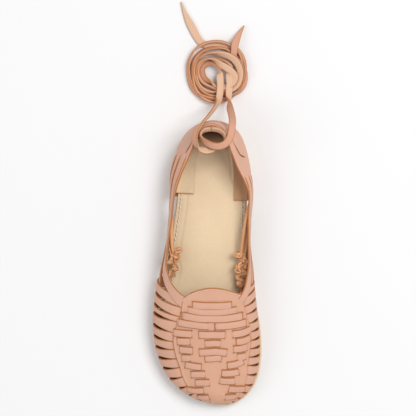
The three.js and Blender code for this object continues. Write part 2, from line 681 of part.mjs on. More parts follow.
const sandal = new THREE.Group();
sandal.name = "huarache_sandal";

function addPart(name, solid, { color, roughness }) {
  const mesh = solid.getMesh();
  const geometry = new THREE.BufferGeometry();
  geometry.setAttribute("position", new THREE.BufferAttribute(mesh.vertProperties, 3));
  geometry.setIndex(new THREE.BufferAttribute(mesh.triVerts, 1));
  const part = new THREE.Mesh(geometry, new THREE.MeshStandardMaterial({ color, roughness, metalness: 0 }));
  part.name = name;
  sandal.add(part);
}

const SOLE_LEATHER = { color: 0xd9c3a0, roughness: 0.7 };
const INSOLE_LEATHER = { color: 0xe1c49e, roughness: 0.6 };
const UPPER_LEATHER = { color: 0xdba78f, roughness: 0.6 };
const LACE_LEATHER = { color: 0xcd9173, roughness: 0.65 };

addPart("outsole", outsole(), SOLE_LEATHER);
addPart("insole", insole(), INSOLE_LEATHER);
addPart("upper", upper(), UPPER_LEATHER);
for (const [name, points] of Object.entries(KNOTS)) addPart(name, knot(points), LACE_LEATHER);
addPart("lace_knot", laceKnot(), LACE_LEATHER);
for (const [name, rows] of Object.entries(LACE_RUNS)) addPart(name, strip(rows, 15), LACE_LEATHER);
addPart("lace_coil", laceCoil(), LACE_LEATHER);
for (const [name, rows] of Object.entries(LACE_TAILS)) addPart(name, strip(rows, 7), LACE_LEATHER);

export default sandal;
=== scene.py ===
"""A right foot huarache sandal with a flat ankle lace, as surfaces worked out from the last it is made on.

Sizes in the tables are millimetres. +X is the medial side, -Y the toe and +Z up.
"""
import math
from functools import partial

import bpy
import numpy as np
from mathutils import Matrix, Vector


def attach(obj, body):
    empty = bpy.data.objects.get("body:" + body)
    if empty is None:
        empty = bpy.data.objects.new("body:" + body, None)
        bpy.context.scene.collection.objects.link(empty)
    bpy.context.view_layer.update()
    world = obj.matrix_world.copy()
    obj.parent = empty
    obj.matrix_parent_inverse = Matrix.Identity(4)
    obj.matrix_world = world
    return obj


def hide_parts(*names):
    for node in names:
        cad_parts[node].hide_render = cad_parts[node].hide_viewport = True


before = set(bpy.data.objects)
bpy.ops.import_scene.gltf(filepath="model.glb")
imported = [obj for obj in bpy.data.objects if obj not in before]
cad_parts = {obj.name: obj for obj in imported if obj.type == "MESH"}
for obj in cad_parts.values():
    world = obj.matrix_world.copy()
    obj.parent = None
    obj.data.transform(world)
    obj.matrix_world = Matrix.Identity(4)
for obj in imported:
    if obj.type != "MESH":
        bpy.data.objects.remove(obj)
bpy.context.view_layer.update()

bl_info = {
    "name": "Huarache sandal",
    "version": (1, 0, 0),
    "blender": (4, 5, 0),
    "location": "3D View > Sidebar > Sandal",
    "description": "Builds a woven leather sandal with a coiled ankle lace",
    "category": "Add Mesh",
}

MM = 0.001

# The last: a row for each section from the toe end to the heel end. Columns: y, edge lateral, edge
# medial, top y, top lateral, top medial, top z, bulge lateral, bulge medial, dome, rim lateral, rim
# medial.
STATIONS = np.array([
    (-125, 12.5, 12.5, -104, 11, 11, 26.2, 0.5, 0.5, 1, 0, 0),
    (-123.2, 1, 23, -103, 11, 11, 26.5, 0.9, 0.5, 1, 0, 0),
    (-118.6, -11.5, 31.5, -100, 10.8, 10.8, 27.3, 1.8, 0.5, 1, 0, 0),
    (-111.5, -21.5, 38.4, -95.5, 10.4, 10.4, 28.6, 3, 0.5, 1, 0, 0),
    (-102, -30.5, 43.4, -89.5, 9.8, 9.8, 30.2, 4.2, 0.5, 1, 0, 0),
    (-90, -37.5, 46.3, -81.5, 8.8, 8.8, 32.4, 5, 0.6, 1, 0, 0),
    (-75, -42.2, 47.3, -70, 7.4, 7.4, 35.6, 5.6, 0.8, 1, 0, 0),
    (-58, -44.2, 46.2, -55.5, 5.8, 5.8, 39.5, 5.8, 1.2, 1, 0, 0),
    (-40, -43.2, 43.2, -38.5, 4.4, 4.4, 43.8, 6.4, 2.2, 1, 0, 0),
    (-20, -40, 39.3, -20, 3.6, 3.6, 48.5, 7, 4.4, 1, 0, 0),
    (0, -36, 36.5, -2, 3.6, 3.6, 53, 8, 6.4, 0.9, 0, 0),
    (20, -32.4, 34.8, 19, -13, 24, 56, 7.8, 6, 0.4, 0, 0),
    (40, -29, 34.4, 40, -15, 28, 58, 8, 6.6, 0, 34, 34),
    (60, -26.6, 34.5, 60, -11, 27, 60, 8.6, 7.6, 0, 37, 36),
    (80, -26, 34.2, 79, -4.5, 16.5, 60, 8.2, 7, 0, 43, 44),
    (98, -22.8, 31.8, 97, -5.9, 17.2, 60, 6.5, 5.5, 0, 52, 53),
    (111.4, -16.5, 26.5, 109, -5.4, 15.7, 60, 5, 5, 0, 56.5, 57),
    (119.2, -7, 18.5, 116.4, -2.2, 12.1, 60, 4, 4, 0, 58, 58),
    (122.4, 5.5, 5.5, 119, 5.2, 5.2, 60, 3.8, 3.8, 0, 58.5, 58.5),
])
SHARED = {"y": 0, "top_y": 3, "top_z": 6, "dome": 9}
SIDED = {"edge": (1, 2), "top": (4, 5), "bulge": (7, 8), "rim": (10, 11)}
# The station at the heel's end.
HEEL_END = len(STATIONS) - 1
# A place inside the foot, which its surfaces face away from: x, z, and how far its y follows them to the
# front and the back. Behind the throat the wall is upright, so there the height counts for little.
MIDDLE_X = 5.0
MIDDLE_Z = 12.0
MIDDLE_FRONT = -85.0
MIDDLE_BACK = 92.0
UPRIGHT_FROM = 20.0
UPRIGHT_SHARE = 0.1

# Sizes of the sole, and distances in from its edge.
FEATHER_INSET = 2.0
INSOLE_INSET = 4.6
WAIST_INSET = 0.8
STITCH_INSET = 3.2
SOLE_THICKNESS = 4.5
HEEL_LIFT = 5.5
TOE_SPRING = 6.0
SPRING_START = -78.0
BALL_END = -38.0
WAIST_TOP = 46.0
HEEL_BREAST = 44.0
TOE_END = -125.0
LAST_GAP = 0.3
INSOLE_TOP = 5.0
INSOLE_THICKNESS = 2.3
PRESSED_LINE = 8.6

# Thicknesses of the leather: straps, side strips, the plug's and the counter's share inside the last.
LEATHER = 1.5
STRIP_LEATHER = 1.6
PLUG_INSIDE = 1.6
COUNTER_INSIDE = 1.8

# The angle in degrees past which a fold stays sharp.
SOLE_FOLD = 40
INSOLE_FOLD = 45
LEATHER_FOLD = 50

# How full the last's sections are: the powers of a section's rise and of its bulge, and the drop below
# its edge.
SECTION_POWER = 0.86
BULGE_POWER = 0.6
DROP_BELOW_EDGE = 40

# The woven rows over the plug: station and place across for the left end, the middle and the right end,
# then the strip's width. Across runs from -1 at the lateral edge of the sole through 0 on the crown to 1
# at the medial edge.
WOVEN_ROWS = (
    ((8.21, -0.18), (8.15, 0.01), (8.21, 0.27), 6.9),
    ((7.99, -0.235), (7.84, 0.005), (8.0, 0.345), 6.2),
    ((7.71, -0.3), (7.52, 0.005), (7.71, 0.435), 7.0),
    ((7.38, -0.355), (7.25, -0.185), (7.14, -0.035), 6.8),
    ((7.14, 0.03), (7.23, 0.225), (7.39, 0.485), 6.8),
    ((6.87, -0.425), (6.8, -0.31), (6.75, -0.205), 6.8),
    ((6.7, -0.13), (6.65, -0.01), (6.7, 0.13), 7.0),
    ((6.76, 0.24), (6.85, 0.385), (7.03, 0.56), 6.8),
    ((6.4, -0.39), (6.37, -0.31), (6.35, -0.24), 6.8),
    ((6.15, -0.08), (6.13, -0.015), (6.15, 0.055), 6.4),
    ((6.35, 0.29), (6.42, 0.4), (6.59, 0.535), 6.6),
    ((5.93, -0.38), (5.86, -0.305), (5.78, -0.23), 6.6),
    ((5.62, -0.155), (5.56, -0.02), (5.6, 0.13), 6.8),
    ((5.88, 0.235), (5.96, 0.34), (6.1, 0.465), 6.6),
    ((5.39, -0.38), (5.36, -0.33), (5.32, -0.28), 6.6),
    ((5.1, -0.105), (5.03, -0.025), (5.06, 0.05), 6.2),
    ((5.4, 0.295), (5.46, 0.365), (5.56, 0.44), 6.6),
    ((4.92, -0.36), (4.68, -0.265), (4.46, -0.18), 6.4),
    ((4.55, 0.135), (4.83, 0.255), (5.18, 0.39), 6.4),
    ((4.04, -0.35), (3.89, -0.26), (3.66, -0.17), 6.4),
    ((3.41, 0.05), (3.84, 0.18), (4.25, 0.325), 6.4),
    ((3.2, -0.37), (2.92, -0.275), (2.51, -0.175), 6.4),
    ((1.95, 0.02), (2.64, 0.15), (3.2, 0.295), 6.4),
    ((3.0, -0.62), (2.55, -0.51), (2.1, -0.375), 6.0),
    ((1.88, 0.27), (2.5, 0.445), (2.9, 0.62), 6.4),
    ((1.9, -0.66), (1.66, -0.59), (1.25, -0.5), 6.0),
    ((0.6, 0.42), (1.17, 0.47), (1.7, 0.56), 6.0),
)

# The slots between the side strips: station at the sole, station beside the plug, girth of the head.
SLOTS = {
    "lateral": (
        (9.45, 8.5, 0.7), (8.92, 8.05, 0.7), (8.45, 7.6, 0.68), (8.0, 7.35, 0.66), (7.47, 6.8, 0.6),
        (6.9, 6.35, 0.55), (6.33, 5.9, 0.56), (5.72, 5.35, 0.56), (5.08, 4.75, 0.56), (4.3, 4.02, 0.54),
        (3.45, 3.2, 0.5), (2.65, 2.35, 0.44), (1.85, 1.55, 0.36), (1.1, 0.95, 0.3), (0.45, 0.4, 0.24),
    ),
    "medial": (
        (9.4, 8.75, 0.52), (9.1, 8.45, 0.52), (8.62, 8.1, 0.52), (8.15, 7.75, 0.5), (7.65, 7.3, 0.48),
        (7.18, 6.88, 0.46), (6.72, 6.43, 0.48), (6.25, 5.97, 0.5), (5.75, 5.47, 0.52), (5.2, 4.93, 0.53),
        (4.5, 4.2, 0.52), (3.62, 3.25, 0.5), (2.75, 2.4, 0.44), (1.95, 1.65, 0.38), (1.2, 1.0, 0.32),
        (0.5, 0.45, 0.26),
    ),
}
SLOT_WIDTH = {"lateral": 2.8, "medial": 1.8}

# How far the plug reaches to each side of the crown: station, lateral reach, medial reach.
PLUG_REACH = np.array([
    (0, 1, 1), (0.5, 1, 1), (1.0, 0.84, 0.74), (1.6, 0.76, 0.66), (2.3, 0.68, 0.6), (3.7, 0.54, 0.54),
    (5.1, 0.46, 0.49), (6.15, 0.46, 0.53), (6.9, 0.455, 0.58), (7.6, 0.4, 0.56), (8.1, 0.33, 0.52),
    (9.0, 0.3, 0.48),
])
# The throat's topline: place across, station.
TOPLINE = np.array([
    (-0.4, 8.35), (-0.315, 8.5), (-0.225, 8.73), (-0.12, 8.89), (-0.025, 8.97), (0.055, 8.99), (0.18, 8.94),
    (0.3, 8.84), (0.455, 8.7), (0.58, 8.54),
])

# The side straps: station, height of the lower edge, height of the upper edge, proud of the last.
SIDE_STRAPS = {
    "lateral": (
        ((8.2, 40.4, 43.8, -1.2), (8.5, 38.2, 42.6, 0.6), (8.9, 35, 40.2, 1.0), (9.4, 30.5, 36.5, 0.6),
         (10, 26.5, 32.8, 0.3), (11, 26.5, 33, 0.3), (12, 28.5, 34.5, 0.3), (13.2, 31.5, 37.5, 0.6),
         (13.9, 35.5, 41.5, 0.8), (14.5, 40, 45.8, 0.6), (14.9, 43, 48.6, -0.8)),
        ((8.85, 19, 23.5, -1.5), (9.2, 18.5, 23.5, -1.0), (10, 18, 23.5, -0.4), (11, 19, 25, -0.4),
         (12, 20.5, 26.5, 0), (13.2, 24, 30, 0.6), (14, 29, 34.5, 0.8), (14.6, 33.5, 38.6, 0.5),
         (14.95, 36, 40.6, -0.8)),
        ((8.85, 11, 15.5, -1.5), (9.3, 11, 15.5, -0.9), (10, 11, 16, 0), (11, 12, 17.5, 0),
         (12, 13, 18.5, 0.3), (13.2, 16, 22, 0.6), (14.1, 22, 27.5, 0.8), (14.6, 25.5, 30.6, 0.5),
         (14.95, 28, 32.6, -0.8)),
    ),
    "medial": (
        ((8.2, 36, 40.4, -1.2), (8.5, 33.4, 38.6, 0.6), (8.85, 29.5, 36, 0.9), (9.3, 26.5, 33.5, 0.6),
         (10, 25, 31.5, 0.3), (11, 26, 32.5, 0.3), (12, 28, 34, 0.3), (13.0, 30.5, 36.5, 0.6),
         (13.6, 33, 39, 0.7), (14.0, 35, 40.5, -0.8)),
        ((8.9, 18.5, 23.5, -0.6), (10, 17.5, 23, -0.4), (11, 18.5, 24.5, -0.4), (12, 20, 26, 0),
         (13.0, 23, 29, 0.6), (13.6, 26, 31.6, 0.6), (14.0, 28, 33, -0.8)),
        ((8.95, 11, 15.5, 0), (10, 11, 16, 0), (11, 12, 17.5, 0), (12, 13, 18.5, 0.3),
         (13.0, 15.5, 21.5, 0.6), (13.6, 18, 23.6, 0.5), (14.0, 19.5, 24.5, -0.8)),
    ),
}
# How far the three straps of a side tip inwards along the waist, from the top one down, and how far each
# side's are drawn in at the front and the back of the waist.
STRAP_LEANS = (0.4, 0.15, 0.1)
STRAPS_DRAWN_IN = {"lateral": (1.7, 0.4), "medial": (0.3, 0.3)}
# The heel counter: how many stations it reaches forward from the heel's end, and its foot's height above
# the floor.
COUNTER_REACH = 5.1
COUNTER_FOOT = 10.4
# The bands round the heel: reach to each side, depth under the rim, width, proud of the last, thickness,
# sink at the ends.
HEEL_BANDS = ((2.3, 4.2, 7.4, 0.5, 1.3, 1.4), (2.0, 3.0, 6.0, -2.5, 1.2, 0.0))
# The linings: whether medial, first and last station, how far the tab lies in over the insole.
LININGS = ((False, 13.05, 15.4, 9.5), (True, 12.72, 15.4, 6.0))
LINING_INSET = 5.2
# The slits in the counter: whether medial, then station and height of each point.
COUNTER_SLITS = (
    (True, ((15.6, 49), (15.3, 47.4), (15.0, 45), (14.75, 42), (14.62, 38.5))),
    (True, ((14.75, 41.5), (14.66, 38), (14.6, 33.8))),
    (False, ((15.5, 51.4), (15.2, 49.6), (14.8, 45.6))),
)
# The middle line of each plait of strip ends: x, y, z.
KNOTS = {
    "knot_lateral": ((-28.6, 13, 21.5), (-29.4, 7, 20.6), (-29.8, 1, 19.8), (-30.6, -5.5, 18.6)),
    "knot_medial": ((30.4, 9, 21.5), (30.4, 1, 20.6), (30.2, -8, 19.4), (30.0, -16, 18), (30.2, -21, 17)),
}
# Which way each plait's side of the foot lies along x.
KNOT_SIDES = {"knot_lateral": -1, "knot_medial": 1}
# The strips of each plait: length of a full swing, its reach to each side, width.
PLAIT_STRIPS = ((9.5, 3.6, 3.6), (12.3, 2.6, 4.2), (15.2, 3.2, 3.2), (8.6, 3.8, 3.4))
# The strips that run forward inside the straps into each plait: x, y, z.
PLAIT_STRANDS = {
    "knot_lateral": (
        ((-30.9, 53, 29), (-30.9, 45, 27.5), (-30.5, 38, 27), (-30.7, 28, 26.5), (-30.5, 17, 24.5),
         (-29.2, 9, 22)),
        ((-31.9, 50, 24), (-31.8, 42, 24), (-32.3, 34, 24), (-32.9, 24, 23.5), (-32.2, 14, 22.5),
         (-30.4, 5, 21)),
    ),
    "knot_medial": (
        ((37.7, 58, 32.5), (36.4, 50, 31), (34.0, 38, 29), (32.0, 26, 27), (30.6, 15, 24.5), (29.6, 5, 22.5)),
        ((38.4, 56, 27), (37.0, 48, 26.5), (36.0, 36, 26), (34.6, 24, 24.5), (33.4, 12, 23), (31.6, 1, 21.5)),
        ((38.5, 54, 24), (37.0, 46, 23), (35.8, 34, 22), (35.4, 20, 21.5), (35.4, 8, 21), (33.0, -5, 20)),
    ),
}
# The lace's flat strip in millimetres: its width, its thickness and the bevel of its edges.
LACE_WIDTH = 6.0
LACE_THICKNESS = 2.0
LACE_BEVEL = 0.35


def padded(index, other):
    """A column of the last with the other side's rows carried on past both ends."""
    own, far = STATIONS[:, index], STATIONS[:, other]
    return np.concatenate([far[[2, 1]], own, far[[-2, -3]]])


# Each column of the last for the lateral and the medial side.
COLUMNS = {name: np.stack([padded(k, k)] * 2) for name, k in SHARED.items()}
COLUMNS.update({name: np.stack([padded(a, b), padded(b, a)]) for name, (a, b) in SIDED.items()})


def column(name, medial, station):
    """A column at any station by the smooth cubic through four neighbouring rows."""
    station = np.asarray(station, float)
    row = np.clip(np.floor(station), -1, HEEL_END).astype(int)
    share = station - row
    side = np.asarray(medial).astype(int)
    table = COLUMNS[name]
    a, b, c, d = (table[side, np.clip(row + 2 + k, 0, table.shape[1] - 1)] for k in (-1, 0, 1, 2))
    return b + 0.5 * share * (c - a + share * (2 * a - 5 * b + 4 * c - d + share * (3 * (b - c) + d - a)))


def smooth(value):
    """0 below 0, 1 above 1 and an S between, 3s squared less 2s cubed."""
    value = np.clip(value, 0, 1)
    return value * value * (3 - 2 * value)


def unit(vectors):
    """Vectors at length one."""
    return vectors / np.maximum(np.linalg.norm(vectors, axis=-1, keepdims=True), 1e-9)


def outward(medial, station):
    """The way out of the sole's outline: the outline's direction turned a quarter."""
    reach = 0.02
    dx = column("edge", medial, station + reach) - column("edge", medial, station - reach)
    dy = column("y", medial, station + reach) - column("y", medial, station - reach)
    turn = np.where(medial, -1.0, 1.0)
    return unit(np.stack([-dy * turn, dx * turn], -1))


def sole_top(y):
    """The sole's upper face: its thickness, an S up to the heel and the square of the way into the toe
    spring."""
    lift = HEEL_LIFT * smooth((y - BALL_END) / (WAIST_TOP - BALL_END))
    spring = TOE_SPRING * np.clip((SPRING_START - y) / (SPRING_START - TOE_END), 0, 1) ** 2
    return SOLE_THICKNESS + lift + spring


def sole_under(y):
    """The sole's lower face, which follows the upper one as far as the heel's breast."""
    return (sole_top(y) - SOLE_THICKNESS) * np.clip((HEEL_BREAST - y) / 2, 0, 1)


def edge_point(medial, station, inset):
    """The sole's outline at a station, moved in by the inset: x and y."""
    foot = np.stack([column("edge", medial, station), column("y", medial, station)], -1)
    return foot - outward(medial, station) * np.asarray(inset)[..., None]


def last(medial, station, girth):
    """The last: from the sole's edge to the section's top by a rounded quarter where it domes and by a
    parabola where it is a side wall, and out by a bulge that is a half wave of the height."""
    medial, station, girth = np.broadcast_arrays(medial, np.asarray(station, float), np.asarray(girth, float))
    foot = edge_point(medial, station, FEATHER_INSET)
    base = sole_top(foot[..., 1]) + LAST_GAP
    dome = np.clip(column("dome", medial, station), 0, 1)
    share = np.maximum(girth, 0)
    angle = np.minimum(share, 1) * math.pi / 2
    inwards = share**2 * (1 - dome) + (1 - np.maximum(0, np.cos(angle)) ** SECTION_POWER) * dome
    upwards = share * (1 - dome) + np.sin(angle) ** SECTION_POWER * dome
    out = column("bulge", medial, station) * np.sin(math.pi * np.clip(upwards, 0, 1) ** BULGE_POWER)
    way = outward(medial, station)
    x = foot[..., 0] * (1 - inwards) + column("top", medial, station) * inwards + way[..., 0] * out
    y = foot[..., 1] * (1 - inwards) + column("top_y", medial, station) * inwards + way[..., 1] * out
    z = base * (1 - upwards) + column("top_z", medial, station) * upwards
    z = z + DROP_BELOW_EDGE * np.minimum(girth, 0)
    return np.stack([x, y, z], -1)


def over_foot(station, across):
    """The last by station and place across, the girth being one less the distance from the crown."""
    across = np.asarray(across, float)
    return last(across > 0, station, 1 - np.abs(across))


def girth_at(medial, station, height):
    """The girth where the last reaches a height, by halving."""
    low, high = np.zeros(np.shape(height)), np.ones(np.shape(height))
    for _ in range(26):
        middle = (low + high) / 2
        below = last(medial, station, middle)[..., 2] < height
        low, high = np.where(below, middle, low), np.where(below, high, middle)
    return low


def side_wall(medial):
    """The last's side as a surface by station and height above the floor."""
    return lambda station, height: last(medial, station, girth_at(medial, station, height))


def round_heel(turn, height):
    """The last's back wall by turn round the heel, lateral below 0, and height above the floor."""
    turn, height = np.broadcast_arrays(np.asarray(turn, float), np.asarray(height, float))
    return side_wall(turn > 0)(HEEL_END - np.abs(turn), height)


def rim(turn):
    """The counter's rim height, straight between stations."""
    station = HEEL_END - np.abs(turn)
    rows = np.arange(len(STATIONS))
    lateral, medial = (np.interp(station, rows, STATIONS[:, k]) for k in SIDED["rim"])
    return np.where(turn > 0, medial, lateral)


def facing(surface, a, b):
    """A surface's outward normals: the cross product of its two slopes, turned away from the foot's
    middle line."""
    step = 2e-3
    slopes = surface(a + step, b) - surface(a - step, b), surface(a, b + step) - surface(a, b - step)
    normal = unit(np.cross(*slopes))
    at = surface(a, b)
    away = at - np.array([MIDDLE_X, 0, MIDDLE_Z])
    away[..., 1] -= np.clip(at[..., 1], MIDDLE_FRONT, MIDDLE_BACK)
    away[..., 2] *= np.where(at[..., 1] > UPRIGHT_FROM, UPRIGHT_SHARE, 1.0)
    return normal * np.sign((normal * away).sum(-1, keepdims=True) + 1e-12)


def curve(points, count):
    """The smooth cubic through a table's rows, sampled evenly by length of its first three columns."""
    points = np.asarray(points, float)
    ends = np.concatenate([[2 * points[0] - points[1]], points, [2 * points[-1] - points[-2]]])
    fine = np.linspace(0, len(points) - 1, 40 * len(points))
    row = np.minimum(fine.astype(int), len(points) - 2)
    share = (fine - row)[:, None]
    a, b, c, d = (ends[row + k] for k in range(4))
    line = b + 0.5 * share * (c - a + share * (2 * a - 5 * b + 4 * c - d + share * (3 * (b - c) + d - a)))
    gone = np.concatenate([[0], np.cumsum(np.linalg.norm(np.diff(line[:, :3], axis=0), axis=1))])
    even = np.linspace(0, gone[-1], count)
    return np.stack([np.interp(even, gone, line[:, k]) for k in range(line.shape[1])], -1)


# The lace strip's and every strap's section: across and up as shares of half the width and half the
# thickness, the bevel's part of each in millimetres, cut edge, flesh side.
SECTION = np.array([
    (1, 1, 0, -1, 1, 0), (1, 1, -1, 0, 1, 0), (1, 1, -2.1, 0, 0, 0), (0.45, 1, 0, 0.3, 0, 0),
    (-0.45, 1, 0, 0.3, 0, 0), (-1, 1, 2.1, 0, 0, 0), (-1, 1, 1, 0, 1, 0), (-1, 1, 0, -1, 1, 0),
    (-1, -1, 0, 1, 0.4, 1), (-1, -1, 1, 0, 0, 1), (-0.4, -1, 0, 0, 0, 1), (0.4, -1, 0, 0, 0, 1),
    (1, -1, -1, 0, 0, 1), (1, -1, 0, 1, 0.4, 1),
])


def oriented(points, faces):
    """Faces turned outwards by the sign of the volume they enclose."""
    volume = sum(
        (points[f[:, 0]] * np.cross(points[f[:, k]], points[f[:, k + 1]])).sum()
        for f in faces for k in range(1, f.shape[1] - 1)
    )
    return faces if volume > 0 else [f[:, ::-1] for f in faces]


def tube(rows, sides):
    """The faces of sections carried along a line: the walls between them, then the two flat ends."""
    index = np.arange(rows * sides).reshape(rows, sides)
    ahead = np.roll(index, -1, axis=1)
    walls = np.stack([index[:-1], index[1:], ahead[1:], ahead[:-1]], -1).reshape(-1, 4)
    return [walls, index[:1], index[-1:, ::-1]]


def strip(line, up, width, thickness=LEATHER, bevel=0.42):
    """A flat strip: its bevelled section carried along a line, standing on the given facing, its ends
    closed."""
    along = unit(np.gradient(line, axis=0))
    up = unit(up - along * (up * along).sum(-1, keepdims=True))
    across = np.cross(along, up)
    half = np.broadcast_to(np.asarray(width, float) / 2, (len(line),))
    tall = np.broadcast_to(np.asarray(thickness, float) / 2, (len(line),))
    cut = np.minimum(bevel, np.minimum(half * 0.5, tall * 0.6))[:, None]
    u = SECTION[:, 0] * half[:, None] + SECTION[:, 2] * cut
    v = SECTION[:, 1] * tall[:, None] + SECTION[:, 3] * cut
    points = line[:, None] + across[:, None] * u[..., None] + up[:, None] * v[..., None]
    rows, sides = u.shape
    flat = points.reshape(-1, 3)
    faces = oriented(flat, tube(rows, sides))
    marks = {"cut": np.tile(SECTION[:, 4], rows), "flesh": np.tile(SECTION[:, 5], rows)}
    marks["cut"][:sides] = marks["cut"][-sides:] = 1
    return flat, faces, marks


def spaced(count, rim_share):
    """Shares from 0 to 1 with two extra ones close to each end, for a rounded rim."""
    inner = np.linspace(rim_share, 1 - rim_share, count)
    return np.concatenate([[0, rim_share * 0.4], inner, [1 - rim_share * 0.4, 1]])


def sheet(points, normals, outside, inside, cut=None):
    """A wall from a grid of points: an outer and an inner face moved along the normals, rounded and
    joined at the rim."""
    rows, sides = points.shape[:2]
    drop = np.zeros((rows, sides))
    for depth, amount in ((0, 0.55), (1, 0.12)):
        ring = np.zeros((rows, sides), bool)
        ring[[depth, -1 - depth]] = True
        ring[:, [depth, -1 - depth]] = True
        drop = np.where(ring & (drop == 0), amount, drop)
    wall = np.broadcast_to(np.asarray(outside, float) + inside, (rows, sides))
    proud = np.broadcast_to(outside, (rows, sides)) - drop * np.minimum(wall, 1) * 0.5
    outer = points + normals * proud[..., None]
    inner = points - normals * (inside - drop * 0.4)[..., None]
    index = np.arange(rows * sides).reshape(rows, sides)
    top = np.stack([index[:-1, :-1], index[1:, :-1], index[1:, 1:], index[:-1, 1:]], -1).reshape(-1, 4)
    border = np.concatenate([index[0], index[1:, -1], index[-1, -2::-1], index[-2:0:-1, 0]])
    ahead = np.roll(border, -1)
    shift = rows * sides
    rim_faces = np.stack([border, ahead, ahead + shift, border + shift], -1)
    flat = np.concatenate([outer.reshape(-1, 3), inner.reshape(-1, 3)])
    faces = oriented(flat, [top, top[:, ::-1] + shift, rim_faces])
    mark = np.zeros(2 * shift)
    mark[border] = mark[border + shift] = 1
    if cut is not None:
        mark[:shift] = np.maximum(mark[:shift], cut.reshape(-1))
    flesh = np.concatenate([np.zeros(shift), np.ones(shift)])
    return flat, faces, {"cut": mark, "flesh": flesh}


def build(name, shapes, material, nodes, sharp=None):
    """One object from a list of shapes, each its points, its faces and its marks, and what it stands for."""
    points, faces, marks, start = [], [], {}, 0
    for flat, lists, extra in shapes:
        points.append(flat)
        faces += [f + start for f in lists]
        for key, values in extra.items():
            marks.setdefault(key, []).append(values)
        start += len(flat)
    points = np.concatenate(points) * MM
    corners = np.concatenate([f.reshape(-1) for f in faces])
    sizes = np.concatenate([np.full(len(f), f.shape[1]) for f in faces])
    mesh = bpy.data.meshes.new(name)
    mesh.vertices.add(len(points))
    mesh.vertices.foreach_set("co", points.reshape(-1))
    mesh.loops.add(len(corners))
    mesh.loops.foreach_set("vertex_index", corners)
    mesh.polygons.add(len(sizes))
    mesh.polygons.foreach_set("loop_start", np.concatenate([[0], np.cumsum(sizes)[:-1]]))
    mesh.polygons.foreach_set("use_smooth", np.ones(len(sizes), bool))
    mesh.update(calc_edges=True)
    mesh.validate()
    for key, values in marks.items():
        mesh.attributes.new(key, "FLOAT", "POINT").data.foreach_set("value", np.concatenate(values))
    if sharp:
        mesh.set_sharp_from_angle(angle=math.radians(sharp))
    piece = bpy.data.objects.new(name, mesh)
    bpy.context.scene.collection.objects.link(piece)
    mesh.materials.append(material)
    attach(piece, "root")
    if nodes:
        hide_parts(*nodes)
    return piece


def group(name, inputs, outputs):
    """An empty shader node group with named inputs, each with its default, and named outputs."""
    tree = bpy.data.node_groups.new(name, "ShaderNodeTree")
    for label, kind, default in inputs:
        socket = tree.interface.new_socket(label, in_out="INPUT", socket_type=kind)
        if default is not None:
            socket.default_value = default
    for label, kind in outputs:
        tree.interface.new_socket(label, in_out="OUTPUT", socket_type=kind)
    return tree, tree.nodes.new("NodeGroupInput"), tree.nodes.new("NodeGroupOutput")


def noise(tree, vector, scale, detail, rough=0.55):
    """A noise texture read at the given vector."""
    node = tree.nodes.new("ShaderNodeTexNoise")
    node.inputs["Scale"].default_value = scale
    node.inputs["Detail"].default_value = detail
    node.inputs["Roughness"].default_value = rough
    tree.links.new(vector, node.inputs["Vector"])
    return node.outputs["Fac"]


def arithmetic(tree, operation, a, b):
    """One Math node on two values or sockets."""
    node = tree.nodes.new("ShaderNodeMath")
    node.operation = operation
    for socket, value in zip(node.inputs, (a, b)):
        if isinstance(value, (int, float)):
            socket.default_value = value
        else:
            tree.links.new(value, socket)
    return node.outputs[0]


def ranged(tree, value, low, high, to_low=0.0, to_high=1.0):
    """A Map Range node, clamped."""
    node = tree.nodes.new("ShaderNodeMapRange")
    for name, number in (("From Min", low), ("From Max", high), ("To Min", to_low), ("To Max", to_high)):
        node.inputs[name].default_value = number
    tree.links.new(value, node.inputs["Value"])
    return node.outputs["Result"]


def mixed(tree, share, a, b):
    """A colour Mix node on colours or sockets."""
    node = tree.nodes.new("ShaderNodeMix")
    node.data_type = "RGBA"
    for name, value in (("Factor", share), ("A", a), ("B", b)):
        socket = next(s for s in node.inputs if s.name == name and s.enabled)
        if isinstance(value, bpy.types.NodeSocket):
            tree.links.new(value, socket)
        else:
            socket.default_value = value if name == "Factor" else (*value[:3], 1)
    return next(s for s in node.outputs if s.enabled)


# How strongly a leather's surface shines.
LEATHER_GLOSS = 0.35


def grain_group():
    """Leather grain: soft mottling in large patches, pores from cell distances and fine fibres for the
    height."""
    tree, put, out = group(
        "Leather grain",
        [("Vector", "NodeSocketVector", None), ("Pores", "NodeSocketFloat", 900.0)],
        [("Mottle", "NodeSocketFloat"), ("Fleck", "NodeSocketFloat"), ("Height", "NodeSocketFloat")],
    )
    vector = put.outputs["Vector"]
    cells = tree.nodes.new("ShaderNodeTexVoronoi")
    tree.links.new(vector, cells.inputs["Vector"])
    tree.links.new(put.outputs["Pores"], cells.inputs["Scale"])
    pores = ranged(tree, cells.outputs["Distance"], 0.0, 0.55)
    creases = noise(tree, vector, 330.0, 4.0, 0.6)
    height = arithmetic(tree, "ADD", arithmetic(tree, "MULTIPLY", pores, 0.5), creases)
    tree.links.new(ranged(tree, noise(tree, vector, 42.0, 3.0), 0.3, 0.7), out.inputs["Mottle"])
    tree.links.new(ranged(tree, noise(tree, vector, 520.0, 2.0), 0.4, 0.75), out.inputs["Fleck"])
    tree.links.new(height, out.inputs["Height"])
    return tree


